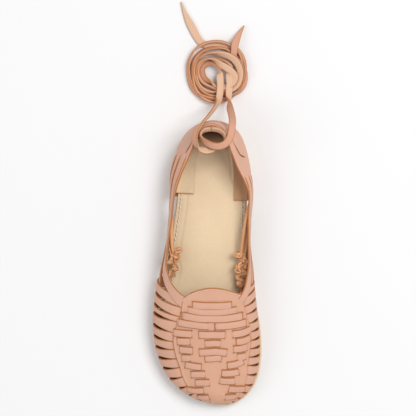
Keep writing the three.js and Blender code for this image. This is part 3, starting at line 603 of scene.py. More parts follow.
def fibre_group():
    """Raw flesh side and cut edges: short fibres, the noise stretched along one way."""
    tree, put, out = group(
        "Leather fibres",
        [("Vector", "NodeSocketVector", None), ("Stretch", "NodeSocketFloat", 0.35)],
        [("Fibre", "NodeSocketFloat"), ("Height", "NodeSocketFloat")],
    )
    squeeze = tree.nodes.new("ShaderNodeCombineXYZ")
    squeeze.inputs["X"].default_value = squeeze.inputs["Y"].default_value = 1.0
    tree.links.new(put.outputs["Stretch"], squeeze.inputs["Z"])
    scaled = tree.nodes.new("ShaderNodeVectorMath")
    scaled.operation = "MULTIPLY"
    tree.links.new(put.outputs["Vector"], scaled.inputs[0])
    tree.links.new(squeeze.outputs[0], scaled.inputs[1])
    fibres = noise(tree, scaled.outputs[0], 1100.0, 4.0, 0.7)
    tree.links.new(ranged(tree, fibres, 0.3, 0.7), out.inputs["Fibre"])
    tree.links.new(fibres, out.inputs["Height"])
    return tree


def used(tree, shared, vector):
    """A shared group placed in a material, reading the given vector."""
    node = tree.nodes.new("ShaderNodeGroup")
    node.node_tree = shared
    tree.links.new(vector, node.inputs["Vector"])
    return node


def darker(colour, share):
    """A colour taken towards black."""
    return tuple(c * share for c in colour[:3])


def mark(tree, name):
    """One of the marks that the shapes carry on their points."""
    node = tree.nodes.new("ShaderNodeAttribute")
    node.attribute_name = name
    return node.outputs["Fac"]


def leather(name, grain, cut, flesh, roughness=0.52, relief=0.00022):
    """Leather by three faces: grain side, cut edge and flesh side, chosen by the marks on the shape. On
    the insole and the medial lining the flesh face is painted shade.
    """
    material = bpy.data.materials.new(name)
    material.use_nodes = True
    tree = material.node_tree
    shader = tree.nodes["Principled BSDF"]
    vector = tree.nodes.new("ShaderNodeTexCoord").outputs["Object"]
    skin = used(tree, bpy.data.node_groups["Leather grain"], vector)
    fibres = used(tree, bpy.data.node_groups["Leather fibres"], vector)
    face = mixed(tree, skin.outputs["Mottle"], darker(grain, 0.93), grain)
    face = mixed(tree, arithmetic(tree, "MULTIPLY", skin.outputs["Fleck"], 0.22), face, darker(grain, 0.8))
    back = mixed(tree, fibres.outputs["Fibre"], darker(flesh, 0.86), flesh)
    edge = mixed(tree, fibres.outputs["Fibre"], darker(cut, 0.8), cut)
    colour = mixed(tree, mark(tree, "flesh"), face, back)
    raw = ranged(tree, mark(tree, "cut"), 0.25, 0.85)
    tree.links.new(mixed(tree, raw, colour, edge), shader.inputs["Base Color"])
    dull = arithmetic(tree, "MAXIMUM", raw, mark(tree, "flesh"))
    uneven = arithmetic(tree, "ADD", ranged(tree, dull, 0, 1, roughness, 0.85),
                    arithmetic(tree, "MULTIPLY", skin.outputs["Fleck"], 0.08))
    tree.links.new(uneven, shader.inputs["Roughness"])
    bump = tree.nodes.new("ShaderNodeBump")
    bump.inputs["Strength"].default_value = 0.5
    bump.inputs["Distance"].default_value = relief
    rough = arithmetic(tree, "MULTIPLY", fibres.outputs["Height"], 0.6)
    height = arithmetic(tree, "ADD", skin.outputs["Height"], rough)
    tree.links.new(height, bump.inputs["Height"])
    tree.links.new(bump.outputs["Normal"], shader.inputs["Normal"])
    shader.inputs["Specular IOR Level"].default_value = LEATHER_GLOSS
    return material


def thread(name, colour):
    """Waxed thread, streaked by fine fibres."""
    material = bpy.data.materials.new(name)
    material.use_nodes = True
    tree = material.node_tree
    shader = tree.nodes["Principled BSDF"]
    vector = tree.nodes.new("ShaderNodeTexCoord").outputs["Object"]
    fibres = used(tree, bpy.data.node_groups["Leather fibres"], vector)
    twist = mixed(tree, fibres.outputs["Fibre"], darker(colour, 0.85), colour)
    tree.links.new(twist, shader.inputs["Base Color"])
    tree.links.new(ranged(tree, fibres.outputs["Fibre"], 0, 1, 0.5, 0.75), shader.inputs["Roughness"])
    return material


# The weave over the plug: how deep it sinks under a row, how high it stands past a row's end and for how
# long, the spread of a slit's cut edge, then a row's height over the plug, its dip at each end and how
# far it runs on beneath.
WEAVE_SINK = 0.5
WEAVE_RAISE = 0.55
RAISED_LENGTH = 5
SLIT_SPREAD = 0.42
ROW_PROUD = 0.4
ROW_DIP = 1.5
ROW_TUCK = 2.4
# The plug: its station at the throat, its overlap past the toe as a share of its length, how deep that
# overlap sinks, how high the throat's folded band stands, and the rounds of evening out and the rows at
# each side that they spare.
THROAT_STATION = 8.97
TOE_OVERLAP = 0.012
TOE_SINK = 0.7
BAND_PROUD = 0.5
EVENING_ROUNDS = 24
SIDE_ROWS = 30


def plug_limits(station):
    """How far the plug reaches to the lateral and the medial side at a station."""
    return [np.interp(station, PLUG_REACH[:, 0], PLUG_REACH[:, k]) for k in (1, 2)]


def row_line(ends, beyond, count=34):
    """A woven row's line on the last and its outward facing, carried past both ends by a length."""
    station, across = curve([(*p, 0) for p in ends], count)[:, :2].T
    line = over_foot(station, across)
    length = np.linalg.norm(np.diff(line, axis=0), axis=1).sum()
    extra = beyond / max(length, 1)
    share = np.linspace(-extra, 1 + extra, count)
    inner = np.linspace(0, 1, count)
    slope = [(values[-1] - values[0]) for values in (station, across)]
    reach = [
        np.interp(share, inner, values) + (np.minimum(share, 0) + np.maximum(share - 1, 0)) * rise
        for values, rise in zip((station, across), slope)
    ]
    return over_foot(*reach), facing(over_foot, *reach), share, length


def weave_relief(points):
    """The plug's relief: sunk under each woven row, raised just past its ends, and marked as cut along
    the slit there."""
    lift, slit = np.zeros(points.shape[:-1]), np.zeros(points.shape[:-1])
    for left, middle, right, width in WOVEN_ROWS:
        line, up, _, _ = row_line((left, middle, right), 0, 14)
        along = unit(np.gradient(line, axis=0))
        gap = np.linalg.norm(points[..., None, :] - line, axis=-1)
        nearest = gap.argmin(-1)
        offset = points - line[nearest]
        across = np.abs((offset * np.cross(along, up)[nearest]).sum(-1))
        past = (offset * along[nearest]).sum(-1) * np.where(nearest < 7, -1, 1)
        ended = (nearest == 0) | (nearest == len(line) - 1)
        past = np.where(ended, past, -9)
        beside = smooth((width / 2 + 0.5 - across) / 0.8)
        lift = np.minimum(lift, np.where(past < 0, -WEAVE_SINK * beside, 0))
        bar = beside * smooth(past / 0.5 + 0.4) * smooth((RAISED_LENGTH - past) / 3) * (past > -0.5)
        lift = np.where(bar > 0.02, np.maximum(lift, WEAVE_RAISE * bar), lift)
        slit = np.maximum(slit, np.exp(-(((past - 0.05) / SLIT_SPREAD) ** 2)) * (across < width / 2 + 0.1))
    return lift, slit


def plug_shape():
    """The plug and the throat band as one wall from the toe's edge to the topline, evened out over the
    crown, with the weave's relief."""
    along, across = (1 + TOE_OVERLAP) * spaced(190, 0.004) - TOE_OVERLAP, 2 * spaced(120, 0.006) - 1
    u, v = np.meshgrid(along, across, indexing="ij")
    lateral, medial = plug_limits(u * THROAT_STATION)
    place = np.where(v < 0, v * lateral, v * medial)
    station = u * np.interp(place, TOPLINE[:, 0], TOPLINE[:, 1])
    points, normals = over_foot(station, place), facing(over_foot, station, place)
    first, end = SIDE_ROWS, points.shape[1] - SIDE_ROWS
    for _ in range(EVENING_ROUNDS):
        for grid in (points, normals):
            beside = grid[:, first - 1 : end - 1] + grid[:, first + 1 : end + 1]
            grid[:, first:end] = (beside + 2 * grid[:, first:end]) / 4
    lift, slit = weave_relief(points)
    side = np.minimum(1 - np.abs(v), 1)
    lift = lift + BAND_PROUD * smooth((0.12 - side) / 0.1) - TOE_SINK * smooth(-u / TOE_OVERLAP)
    rim_line = np.minimum(side * 40, (1 - u) * 150)
    slit = np.maximum(slit, smooth((1.0 - rim_line) / 0.5))
    return sheet(points, normals, lift, PLUG_INSIDE, cut=slit)


def woven_shapes():
    """Each woven row: proud of the plug, dipping through its slits at both ends, with the slit's cut edge
    over it."""
    shapes = []
    for left, middle, right, width in WOVEN_ROWS:
        line, up, share, length = row_line((left, middle, right), ROW_TUCK)
        inside = np.minimum(share, 1 - share) * length
        height = ROW_PROUD - ROW_DIP * smooth((0.9 - inside) / 2.0) + 0.12 * smooth(inside / 5)
        shapes.append(strip(line + up * height[:, None], up, width * 0.97))
        along = unit(np.gradient(line, axis=0))
        for end in (0.0, 1.0):
            at = np.abs(share - end).argmin()
            across = np.cross(along[at], up[at]) * np.linspace(-0.5, 0.5, 9)[:, None] * (width + 0.6)
            edge = line[at] + across + up[at] * (0.52 - 0.0016 * (across**2).sum(-1, keepdims=True))
            flat, faces, marks = strip(edge, np.tile(up[at], (9, 1)), 0.85, 0.7, 0.2)
            marks["cut"][:] = 1
            shapes.append((flat, faces, marks))
    return shapes


def side_strip_shapes(side, slot):
    """The strips from the sole up to the plug's edge, a slot's width apart, dipping under the plug."""
    medial, shapes = side == "medial", []
    for (foot_a, head_a, top_a), (foot_b, head_b, top_b) in zip(SLOTS[side], SLOTS[side][1:]):
        share = np.linspace(-0.03, 1.07, 40)
        lines = []
        for foot, head, top in ((foot_a, head_a, top_a), (foot_b, head_b, top_b)):
            lines.append((foot + (head - foot) * share, top * share))
        station = (lines[0][0] + lines[1][0]) / 2
        girth = (lines[0][1] + lines[1][1]) / 2
        wide = np.linalg.norm(last(medial, *lines[0]) - last(medial, *lines[1]), axis=-1)
        gap = slot * (0.35 + 0.65 * smooth(share / 0.2)) * (1 - smooth((share - 0.4) / 0.55))
        width = np.clip(wide - gap, 2.2, 12)
        wall = partial(last, medial)
        up = facing(wall, station, np.maximum(girth, 0.01))
        height = -0.7 + 0.6 * np.sin(math.pi * np.clip(share, 0, 1)) - 1.0 * smooth((share - 0.78) / 0.2)
        shapes.append(strip(wall(station, girth) + up * height[:, None], up, width, STRIP_LEATHER))
    return shapes


def side_strap_shapes(side, thickness):
    """The side straps from the throat to the counter, by the heights of their edges at each station,
    tipped inwards and drawn in at the waist, where nothing backs them."""
    medial, shapes = side == "medial", []
    wall = side_wall(medial)
    for rows, lean in zip(SIDE_STRAPS[side], STRAP_LEANS):
        station, low, high, proud = curve(rows, 90).T
        width = np.linalg.norm(wall(station, high) - wall(station, low), axis=-1)
        middle = (low + high) / 2
        waist = smooth((station - 9.2) / 1.2) * smooth((13.8 - station) / 1.2)
        tip = lean * waist * np.interp(station, (10.6, 12.4), (0.15, 1))
        drawn_in = waist * np.interp(station, (11, 12.4), STRAPS_DRAWN_IN[side])
        up = facing(wall, station, middle)
        up[:, 2] = up[:, 2] * (1 - 0.75 * waist) + tip
        centre = proud - thickness / 2 - drawn_in
        shapes.append(strip(wall(station, middle) + up * centre[:, None], up, width * 0.98, thickness))
    return shapes


def counter_shape():
    """The heel counter: the last's back wall from the sole to the rim, from one side strap joint to the
    other, its rim at the back left without the raw edge's colour, as where it is folded over."""
    turn = COUNTER_REACH * (2 * spaced(96, 0.01) - 1)
    share = spaced(34, 0.015)
    t, s = np.meshgrid(turn, share, indexing="ij")
    height = COUNTER_FOOT + (rim(t) - COUNTER_FOOT) * s
    flat, faces, marks = sheet(round_heel(t, height), facing(round_heel, t, height), 0.0, COUNTER_INSIDE)
    marks["cut"] *= np.tile(smooth((np.abs(t) - 2.2) / 0.6).reshape(-1), 2)
    return flat, faces, marks


def counter_band(reach, below, width, proud, thickness, sink):
    """A strap round the heel under the rim, its ends sinking into the counter."""
    turn = np.linspace(-reach, reach, 90)
    height = rim(turn) - below
    up = facing(round_heel, turn, height)
    lift = proud - sink * smooth((np.abs(turn) - reach + 0.8) / 0.75)
    flat, faces, marks = strip(round_heel(turn, height) + up * lift[:, None], up, width, thickness)
    marks["cut"] *= 0.3
    return flat, faces, marks


def slit_shade_shapes():
    """The slits in the counter: each a thin lens just proud of the leather, dark with painted shade for the
    gap.
    """
    shapes = []
    for medial, points in COUNTER_SLITS:
        station, height = curve([(s, z, 0) for s, z in points], 30)[:, :2].T
        wall = side_wall(medial)
        up = facing(wall, station, height)
        share = np.linspace(0, 1, 30)
        width = 0.3 + 1.1 * np.sin(math.pi * share)
        shapes.append(strip(wall(station, height) + up * 0.02, up, width, 0.35, 0.1))
    return shapes


def lining_shapes():
    """The linings down the counter's inside wall and over the insole's edge as a tab on each side, the
    medial one in painted shade."""
    shapes = []
    for medial, near, far, inwards in LININGS:
        station, share = np.meshgrid(np.linspace(near, far, 40), spaced(40, 0.02), indexing="ij")
        foot = edge_point(medial, station, LINING_INSET)
        floor = sole_top(foot[..., 1]) + INSOLE_TOP + 0.15
        way = outward(medial, station)
        wall_top = rim(np.where(medial, 1, -1) * (HEEL_END - station)) - 5
        climb = np.clip((share - 0.5) / 0.5, 0, 1)
        lay = np.clip((0.55 - share) / 0.55, 0, 1) ** 1.15
        z = floor + climb * (wall_top - floor)
        wall_xy = side_wall(medial)(station, z)[..., :2] - way * 2.4
        flat_xy = foot - way * (inwards * lay)[..., None]
        blend = smooth((share - 0.42) / 0.16)[..., None]
        points = np.concatenate([flat_xy * (1 - blend) + wall_xy * blend, z[..., None]], -1)
        up = np.cross(np.gradient(points, axis=0), np.gradient(points, axis=1))
        up = unit(up) * np.sign((up * (np.array([4.0, 80, 60]) - points)).sum(-1, keepdims=True))
        flat, faces, marks = sheet(points, up, 0.05 + 1.55 * smooth((far - station) / 1.4), 0.0)
        # Painted shade on the medial lining, which the counter's wall shades: the flesh mark takes it most of
        # the way to the lining's dark back colour.
        marks["flesh"][:] = 0.8 if medial else 0.0
        shapes.append((flat, faces, marks))
    return shapes


# The outsole's section, once round: share of half the width, share of the bevel, share of the height,
# millimetres up. The one step inwards on each side, at 0.62 of the height, is the groove.
SOLE_SECTION = np.array([
    (-1, 1.0, 0, 0.0), (-0.5, 0, 0, 0.0), (0, 0, 0, 0.0), (0.5, 0, 0, 0.0), (1, -1.0, 0, 0.0),
    (1, -0.3, 0, 0.3), (1, 0, 0, 1.0), (1, 0, 0.5, 0), (1, -0.35, 0.62, 0), (1, 0, 0.74, 0),
    (1, 0, 1, -0.6), (1, -0.25, 1, -0.15), (1, -0.8, 1, 0), (0.5, 0, 1, 0), (0, 0, 1, 0), (-0.5, 0, 1, 0),
    (-1, 0.8, 1, 0), (-1, 0.25, 1, -0.15), (-1, 0, 1, -0.6), (-1, 0, 0.74, 0), (-1, 0.35, 0.62, 0),
    (-1, 0, 0.5, 0), (-1, 0, 0, 1.0), (-1, 0.3, 0, 0.3),
])
SOLE_BEVEL = 0.9


def sole_shape():
    """The outsole: a section from edge to edge, its corners rounded and a fine groove round its edge,
    carried from toe to heel."""
    stretches = np.linspace(0, 2, 26), np.linspace(2.1, 16, 110), np.linspace(16.1, HEEL_END, 26)
    station = np.concatenate(stretches)
    left, right = (edge_point(np.full(len(station), side), station, 0.0 * station) for side in (False, True))
    half = (right[:, 0] - left[:, 0]) / 2
    bevel = np.minimum(SOLE_BEVEL, half)
    across, inset, level, corner = SOLE_SECTION.T
    low, high = sole_under(left[:, 1]), sole_top(left[:, 1])
    middle = (left + right) / 2
    x = middle[:, :1] + half[:, None] * across + bevel[:, None] * inset
    y = middle[:, 1:] + (right[:, 1:] - left[:, 1:]) / 2 * across
    z = low[:, None] * (1 - level) + high[:, None] * level + corner
    points = np.stack([x, y, z], -1)
    rows, sides = z.shape
    flat = points.reshape(-1, 3)
    cut = np.tile((np.abs(across) > 0.9) & (level < 0.99), rows).astype(float)
    flesh = np.tile((level < 0.01) & (np.abs(across) < 0.9), rows).astype(float)
    faces = oriented(flat, tube(rows, sides))
    return flat, faces, {"cut": cut, "flesh": flesh}


def waist_share(station):
    """1 along the open waist and 0 under the vamp's and the counter's walls."""
    return smooth((station - 9.75) / 0.5) * smooth((13.7 - station) / 0.5)


def insole_shape():
    """The insole: level across, with two pressed lines inside its edge and a little hollow under the
    heel, with painted shade towards the toe under the vamp and at the heel's end under the lace's knot."""
    station, share = np.meshgrid(
        np.concatenate([np.linspace(0.06, 2, 24), np.linspace(2.1, 16, 150), np.linspace(16.1, 17.94, 24)]),
        spaced(70, 0.004), indexing="ij",
    )
    open_waist = waist_share(station)
    inset = INSOLE_INSET + (WAIST_INSET - INSOLE_INSET) * open_waist
    left, right = (edge_point(np.full(station.shape, side), station, inset) for side in (False, True))
    flat = left * (1 - share)[..., None] + right * share[..., None]
    width = np.linalg.norm(right - left, axis=-1)
    side = np.minimum(share, 1 - share) * width
    pressed = -0.5 * np.exp(-(((side - PRESSED_LINE) / 0.8) ** 2))
    pressed -= 0.25 * smooth((PRESSED_LINE - side) / 1.2)
    pressed -= 0.35 * np.exp(-(((side - STITCH_INSET) / 0.7) ** 2))
    hollow = -0.7 * smooth(side / 22) * smooth((flat[..., 1] - 50) / 30)
    z = sole_top(flat[..., 1]) + INSOLE_TOP + pressed + hollow
    points = np.concatenate([flat, z[..., None]], -1)
    up = np.zeros(points.shape)
    up[..., 2] = 1
    flat, faces, marks = sheet(points, up, 0.0, INSOLE_THICKNESS)
    y = flat[:, 1]
    # Painted shade: the flesh mark takes the insole's top to its dark back colour towards the toe and the
    # heel's end.
    marks["flesh"] = np.maximum(smooth((-34 - y) / 26), smooth((y - 99) / 16))
    return flat, faces, marks


def stitches(line, up, pitch, length, width):
    """Stitches along a line: short rounded strips a pitch apart, each humped over its middle."""
    gone = np.concatenate([[0], np.cumsum(np.linalg.norm(np.diff(line, axis=0), axis=1))])
    shapes = []
    for start in np.arange(pitch / 2, gone[-1] - length, pitch):
        at = start + np.linspace(0, length, 7)
        middle = np.stack([np.interp(at, gone, line[:, k]) for k in range(3)], -1)
        stand = np.stack([np.interp(at, gone, up[:, k]) for k in range(3)], -1)
        hump = np.sin(np.linspace(0, math.pi, 7))
        middle = middle + stand * (hump * 0.35)[:, None]
        shapes.append(strip(middle, stand, width * (0.55 + 0.45 * hump), 0.6, 0.2))
    return shapes


def insole_stitches():
    """The stitch row beside each edge of the insole, from under the vamp to the lining's tab."""
    shapes = []
    for medial in (False, True):
        station = np.linspace(8.6, 13.1, 160)
        inset = INSOLE_INSET + (WAIST_INSET - INSOLE_INSET) * waist_share(station)
        line = edge_point(np.full(160, medial), station, inset + STITCH_INSET)
        z = sole_top(line[:, 1]) + INSOLE_TOP - 0.15
        shapes += stitches(np.column_stack([line, z]), np.tile([0.0, 0, 1], (160, 1)), 4.0, 2.7, 1.3)
    return shapes


def throat_stitches():
    """The fine stitch row just inside the throat's topline."""
    across = np.linspace(-0.33, 0.5, 200)
    station = np.interp(across, TOPLINE[:, 0], TOPLINE[:, 1]) - 0.085
    return stitches(over_foot(station, across), facing(over_foot, station, across), 1.9, 1.3, 0.55)


# The bows on a plait's inner side: share of the way along it, reach, half length, tilt.
PLAIT_BOWS = ((0.06, 5.6, 1.6, 0.9), (0.52, 4.4, 1.5, -0.6))
# The loose ends past a plait: place across, lean, length.
PLAIT_TAILS = ((-1.8, 0.5, 6.5), (1.6, -0.4, 11), (0.1, 0.9, 8))


def plait(name):
    """Strip ends knotted together: four swing across and over as sines of unlike lengths, with bows on
    the inner side and loose ends past the last knot."""
    line, side = curve(KNOTS[name], 120), KNOT_SIDES[name]
    along = unit(np.gradient(line, axis=0))
    up = unit(np.array([0.0, 0, 1]) - along * along[:, 2:])
    across = np.cross(along, up)
    share, shapes = np.linspace(0, 1, 120), []
    length = np.linalg.norm(np.diff(line, axis=0), axis=1).sum()
    for strand, (turns, reach, wide) in enumerate(PLAIT_STRIPS):
        phase = 2 * math.pi * (share * length / turns + strand / 4)
        ends = smooth(share / 0.1 + 0.45) * smooth((1 - share) / 0.1 + 0.45)
        spread = reach * (1 + 0.25 * np.sin(5 * share + strand)) * ends
        over = 1.5 * np.sin(1.7 * phase + strand)
        middle = line + across * (spread * np.sin(phase))[:, None] + up * over[:, None]
        lean = across * (0.8 * np.cos(phase * 1.3 + strand))[:, None]
        shapes.append(strip(middle, up + lean, wide + 0.5 * np.sin(9 * share + strand), 1.3, 0.4))
    turn = np.linspace(-0.35, 2 * math.pi + 0.35, 30)[:, None]
    for place, reach, half, tilt in PLAIT_BOWS:
        k = int(place * 119)
        bow = line[k] + across[k] * side * (1.2 + reach * (1 - np.cos(turn)) / 2)
        rise = 1.6 + tilt * np.cos(turn) + 0.6 * np.sin(turn)
        bow = bow + along[k] * half * np.sin(turn + 0.5) + up[k] * rise
        face = np.tile(up[k], (30, 1)) - across[k] * side * np.cos(turn) * 0.7
        shapes.append(strip(bow, face, 2.1, 1.2, 0.35))
    for end, lean, reach in PLAIT_TAILS:
        tail = line[-1] + along[-1] * np.linspace(-1, reach, 16)[:, None]
        droop = 1.5 * np.linspace(0, 1, 16) ** 2
        tail = tail + across[-1] * (end * np.linspace(0.6, 1.7, 16))[:, None] - up[-1] * droop[:, None]
        face = np.tile(up[-1] + lean * across[-1], (16, 1))
        shapes.append(strip(tail, face, np.linspace(3.0, 1.6, 16), 1.2, 0.3))
    return shapes


def plait_strands(name):
    """The strips that run along inside the straps into a plait, their faces turned inwards and up,
    widening from the point where each leaves its strap."""
    up = np.tile([-0.7 * KNOT_SIDES[name], 0.0, 0.7], (60, 1))
    width = 0.6 + 3.0 * smooth(np.linspace(0, 1, 60) / 0.3)
    return [strip(curve(rows, 60), up, width, 1.2, 0.25) for rows in PLAIT_STRANDS[name]]


# Each end of the lace from the middle of the heel, round the knot's loops and down its run to the coil. A
# row holds the middle of its strip and the way its grain side faces: x, y, z, facing x, y, z.
LACE_STARTS = {
    "left": (
        (5.2, 115.2, 56.6, 0, 1, -0.55), (10.8, 114.4, 56.6, 0.25, 0.95, -0.55),
        (15.2, 111.8, 56.4, 0.7, 0.7, -0.5), (17.0, 107.6, 55.4, 0.95, 0.2, -0.3),
        (15.2, 103, 53.4, 0.85, -0.5, 0.1), (11.0, 99.6, 52.4, 0.5, -0.8, 0.2),
        (6.0, 97.4, 53.0, 0.1, -0.7, -0.6), (0.6, 96.6, 54.6, -0.1, -0.5, -0.85),
        (-4.6, 98.0, 56.4, -0.5, -0.6, -0.45), (-7.8, 101.8, 57.8, -0.8, -0.35, 0.5),
        (-8.9, 107, 59, -0.75, 0, 0.75), (-8.0, 112.2, 59.8, -0.7, 0.3, 0.7),
        (-5.2, 117, 59.4, -0.75, 0.4, 0.5), (-1.6, 121.6, 56, -0.85, 0.5, 0.2),
        (2.0, 126.4, 47.5, -0.85, 0.45, 0.1), (5.0, 131.4, 35, -0.9, 0.35, 0),
        (7.8, 137, 21.5, -0.75, 0.3, -0.4), (9.8, 142.8, 12.8, -0.4, 0.1, -0.9),
        (10.9, 149, 10.6, -0.3, 0, -1), (11.2, 156, 10, -0.3, 0, -1), (11.0, 163, 9.2, 0.1, 0, -0.95),
    ),
    "right": (
        (5.2, 115.2, 56.6, 0, 1, -0.55), (-0.2, 114.4, 56.4, -0.3, 0.9, -0.5),
        (-3.6, 111.6, 55.4, -0.85, 0.5, -0.2), (-3.8, 108, 55.0, -0.9, -0.2, 0.2),
        (-1.4, 105, 55.8, -0.65, -0.6, 0.6), (2.4, 102.6, 57.2, -0.35, -0.6, 0.8),
        (7.0, 100.8, 58.6, -0.1, -0.45, 0.9), (12.2, 100.4, 59.6, 0.05, -0.3, 0.95),
        (17.2, 102.4, 60.4, 0.15, -0.15, 1), (20.8, 107, 60.9, 0.2, 0, 1), (22.4, 112.6, 61, 0.2, 0.1, 1),
        (23.0, 118, 59.6, 0.15, 0.4, 0.9), (23.0, 122.6, 53.6, 0.1, 0.75, 0.65),
        (22.2, 127, 44, 0, 0.85, 0.5), (20.8, 132, 31.5, -0.35, 0.85, 0.3),
        (19.4, 137.4, 19.6, -0.7, 0.6, 0), (18.6, 143.5, 12.4, -0.6, 0.2, -0.6),
        (18.8, 151, 9.8, -0.3, 0, -0.95), (19.4, 158, 8.6, -0.1, 0, -1), (18.6, 165, 7.6, 0.3, 0, -0.9),
    ),
}
# The lace's tapered ends: x, y, z, facing x, y, z, width.
LACE_TIPS = {
    "left": (
        (7.6, 191.2, 1.3, 0, 0, -1, 6), (0.4, 191.4, 1.2, 0, 0, -1, 6), (-5.6, 193.6, 1.2, 0, 0, -1, 6),
        (-9.8, 199, 1.2, 0, 0, -1, 6.2), (-13.2, 205.4, 1.2, 0, 0, -1, 6.6), (-16.6, 212, 1.2, 0, 0, -1, 6.0),
        (-20.2, 220, 1.3, 0, 0, -1, 3.4), (-23.6, 229.6, 1.3, 0, 0, -1, 1.0),
    ),
    "right": (
        (23.2, 180.4, 6.8, 0.05, 0, 1, 5.8), (23.4, 186, 8.4, 0, 0, 1, 6), (24.2, 192, 8.4, 0, 0.1, 1, 6.6),
        (26.0, 197.4, 6.8, 0.1, 0.4, 0.9, 5.8), (28.8, 203, 4.2, 0.1, 0.4, 0.9, 3.4),
        (31.8, 208.2, 2, 0.1, 0.3, 0.9, 1.0),
    ),
}
# How each end winds in the coil, from its run to its tip: angle in degrees, share of the way from the
# coil's hole to its outer edge, height of the strip's middle, lean in degrees, which is 0 on edge and 90
# with the grain side up.
COIL_TURNS = {
    "left": (
        (15, 0.03, 7.2, 40), (50, -0.02, 4.8, 25), (90, 0.0, 4, 30), (135, 0.03, 3.8, 48),
        (180, 0.07, 3.8, 55), (225, 0.08, 3.8, 48), (270, 0.12, 4.0, 14), (295, 0.34, 6.2, -30),
        (320, 0.54, 8.2, -62), (343, 0.56, 8.8, -68), (360, 0.36, 9.2, -66), (378, 0.16, 9.4, -60),
        (405, 0.08, 9.2, -44), (435, 0.12, 8.4, -20), (468, 0.22, 6.6, 0), (500, 0.36, 4.6, 10),
        (540, 0.45, 3.4, 20), (590, 0.5, 3.4, -10), (630, 0.5, 3.6, -20), (680, 0.5, 3.4, 4),
        (720, 0.56, 3.4, 12), (770, 0.66, 3.6, -14), (810, 0.68, 3.8, 20), (860, 0.7, 3.6, 16),
        (900, 0.7, 3.4, 24), (950, 0.8, 3.4, -10), (990, 0.9, 3.4, -22), (1040, 0.9, 3.4, 0),
        (1080, 0.84, 3.4, -10), (1112, 0.84, 2.4, -50), (1132, 0.84, 1.6, -84),
    ),
    "right": (
        (8, 0.36, 7.0, -40), (35, 0.26, 4.4, -10), (60, 0.22, 3.5, 0), (90, 0.22, 3.4, 10),
        (135, 0.27, 3.4, 16), (180, 0.33, 3.4, 8), (225, 0.3, 3.4, -12), (270, 0.3, 3.6, -10),
        (300, 0.5, 5.6, -30), (323, 0.72, 7.4, -58), (345, 0.71, 7.9, -66), (368, 0.64, 8.1, -64),
        (392, 0.54, 8.1, -56), (418, 0.43, 7.8, -40), (446, 0.42, 6.6, -12), (470, 0.5, 4.8, 12),
        (500, 0.58, 3.6, 30), (540, 0.6, 3.4, 10), (590, 0.64, 3.4, 10), (630, 0.7, 3.4, 14),
        (680, 0.66, 3.6, -8), (720, 0.72, 3.6, -12), (760, 0.84, 3.6, -20), (800, 0.93, 4.8, -8),
        (832, 0.96, 5.8, 0), (865, 0.94, 4.8, 12), (900, 0.95, 3.6, 20), (945, 0.96, 3.4, 26),
        (985, 0.8, 3.8, 10), (1020, 0.84, 4.2, -10), (1050, 0.94, 4.0, 24), (1075, 0.82, 4.0, 60),
        (1094, 0.68, 4.8, 82),
    ),
}
# The coil's hole: x and y of its middle, radius.
COIL_HOLE = (3.2, 168.5, 7.4)
# The coil's outer edge: its mean radius, its swing by the cosine and the sine of the turn and by the sine
# of three turns, and how far that last one is ahead.
COIL_EDGE = (27.6, 6.0, -0.4, 0.7, 0.4)
# The degrees of a turn that count as much as a millimetre of height where its rows are spaced evenly.
EVEN_DEGREES = 20


def coil_rows(side):
    """The lace in turns round the coil's hole, on edge, its radius the share between the hole's and the
    outer edge's, which swings out to the medial side as a cosine, and its facing leant from the radius
    towards upright."""
    angle, share, z, lean = curve([(a / EVEN_DEGREES, *row) for a, *row in COIL_TURNS[side]], 90).T
    theta, lean = np.radians(angle * EVEN_DEGREES), np.radians(lean)
    x, y, hole = COIL_HOLE
    mean, by_cosine, by_sine, by_third, ahead = COIL_EDGE
    outer = mean + by_cosine * np.cos(theta) + by_sine * np.sin(theta) + by_third * np.sin(3 * theta + ahead)
    r = hole + share * (outer - hole)
    face = [np.cos(theta) * np.cos(lean), np.sin(theta) * np.cos(lean), np.sin(lean)]
    return np.stack([x + r * np.cos(theta), y + r * np.sin(theta), z, *face, np.full(len(r), LACE_WIDTH)], -1)


def lace_line(side):
    """One end of the lace from the middle of the heel to its tip, as rows about a millimetre apart."""
    start = np.array([(*row, LACE_WIDTH) for row in LACE_STARTS[side]], float)
    return curve(np.concatenate([start, coil_rows(side), np.array(LACE_TIPS[side], float)]), 560)


def colour_property(name, description, default):
    """A colour that a user can change, in linear values."""
    return bpy.props.FloatVectorProperty(
        name=name, description=description, subtype="COLOR", default=default, min=0, max=1
    )


def size_property(name, description, default):
    """A small size that a user can change, in metres, its default given in millimetres."""
    return bpy.props.FloatProperty(
        name=name, description=description, default=default * MM, min=0.0005, precision=4, unit="LENGTH"
    )


def millimetres(size):
    """A size setting in millimetres, to the nearest thousandth."""
    return round(size / MM, 3)


class SandalSizes(bpy.types.PropertyGroup):
    """Sizes of the strips and the lace."""

    lace_width: size_property("Lace width", "Width of the flat lace", LACE_WIDTH)
    lace_thickness: size_property("Lace thickness", "Thickness of the flat lace", LACE_THICKNESS)
    strap_thickness: size_property("Strap thickness", "Thickness of the side straps", LEATHER)
    lateral_slots: size_property("Lateral slots", "Gap between lateral strips", SLOT_WIDTH["lateral"])
    medial_slots: size_property("Medial slots", "Gap between medial strips", SLOT_WIDTH["medial"])


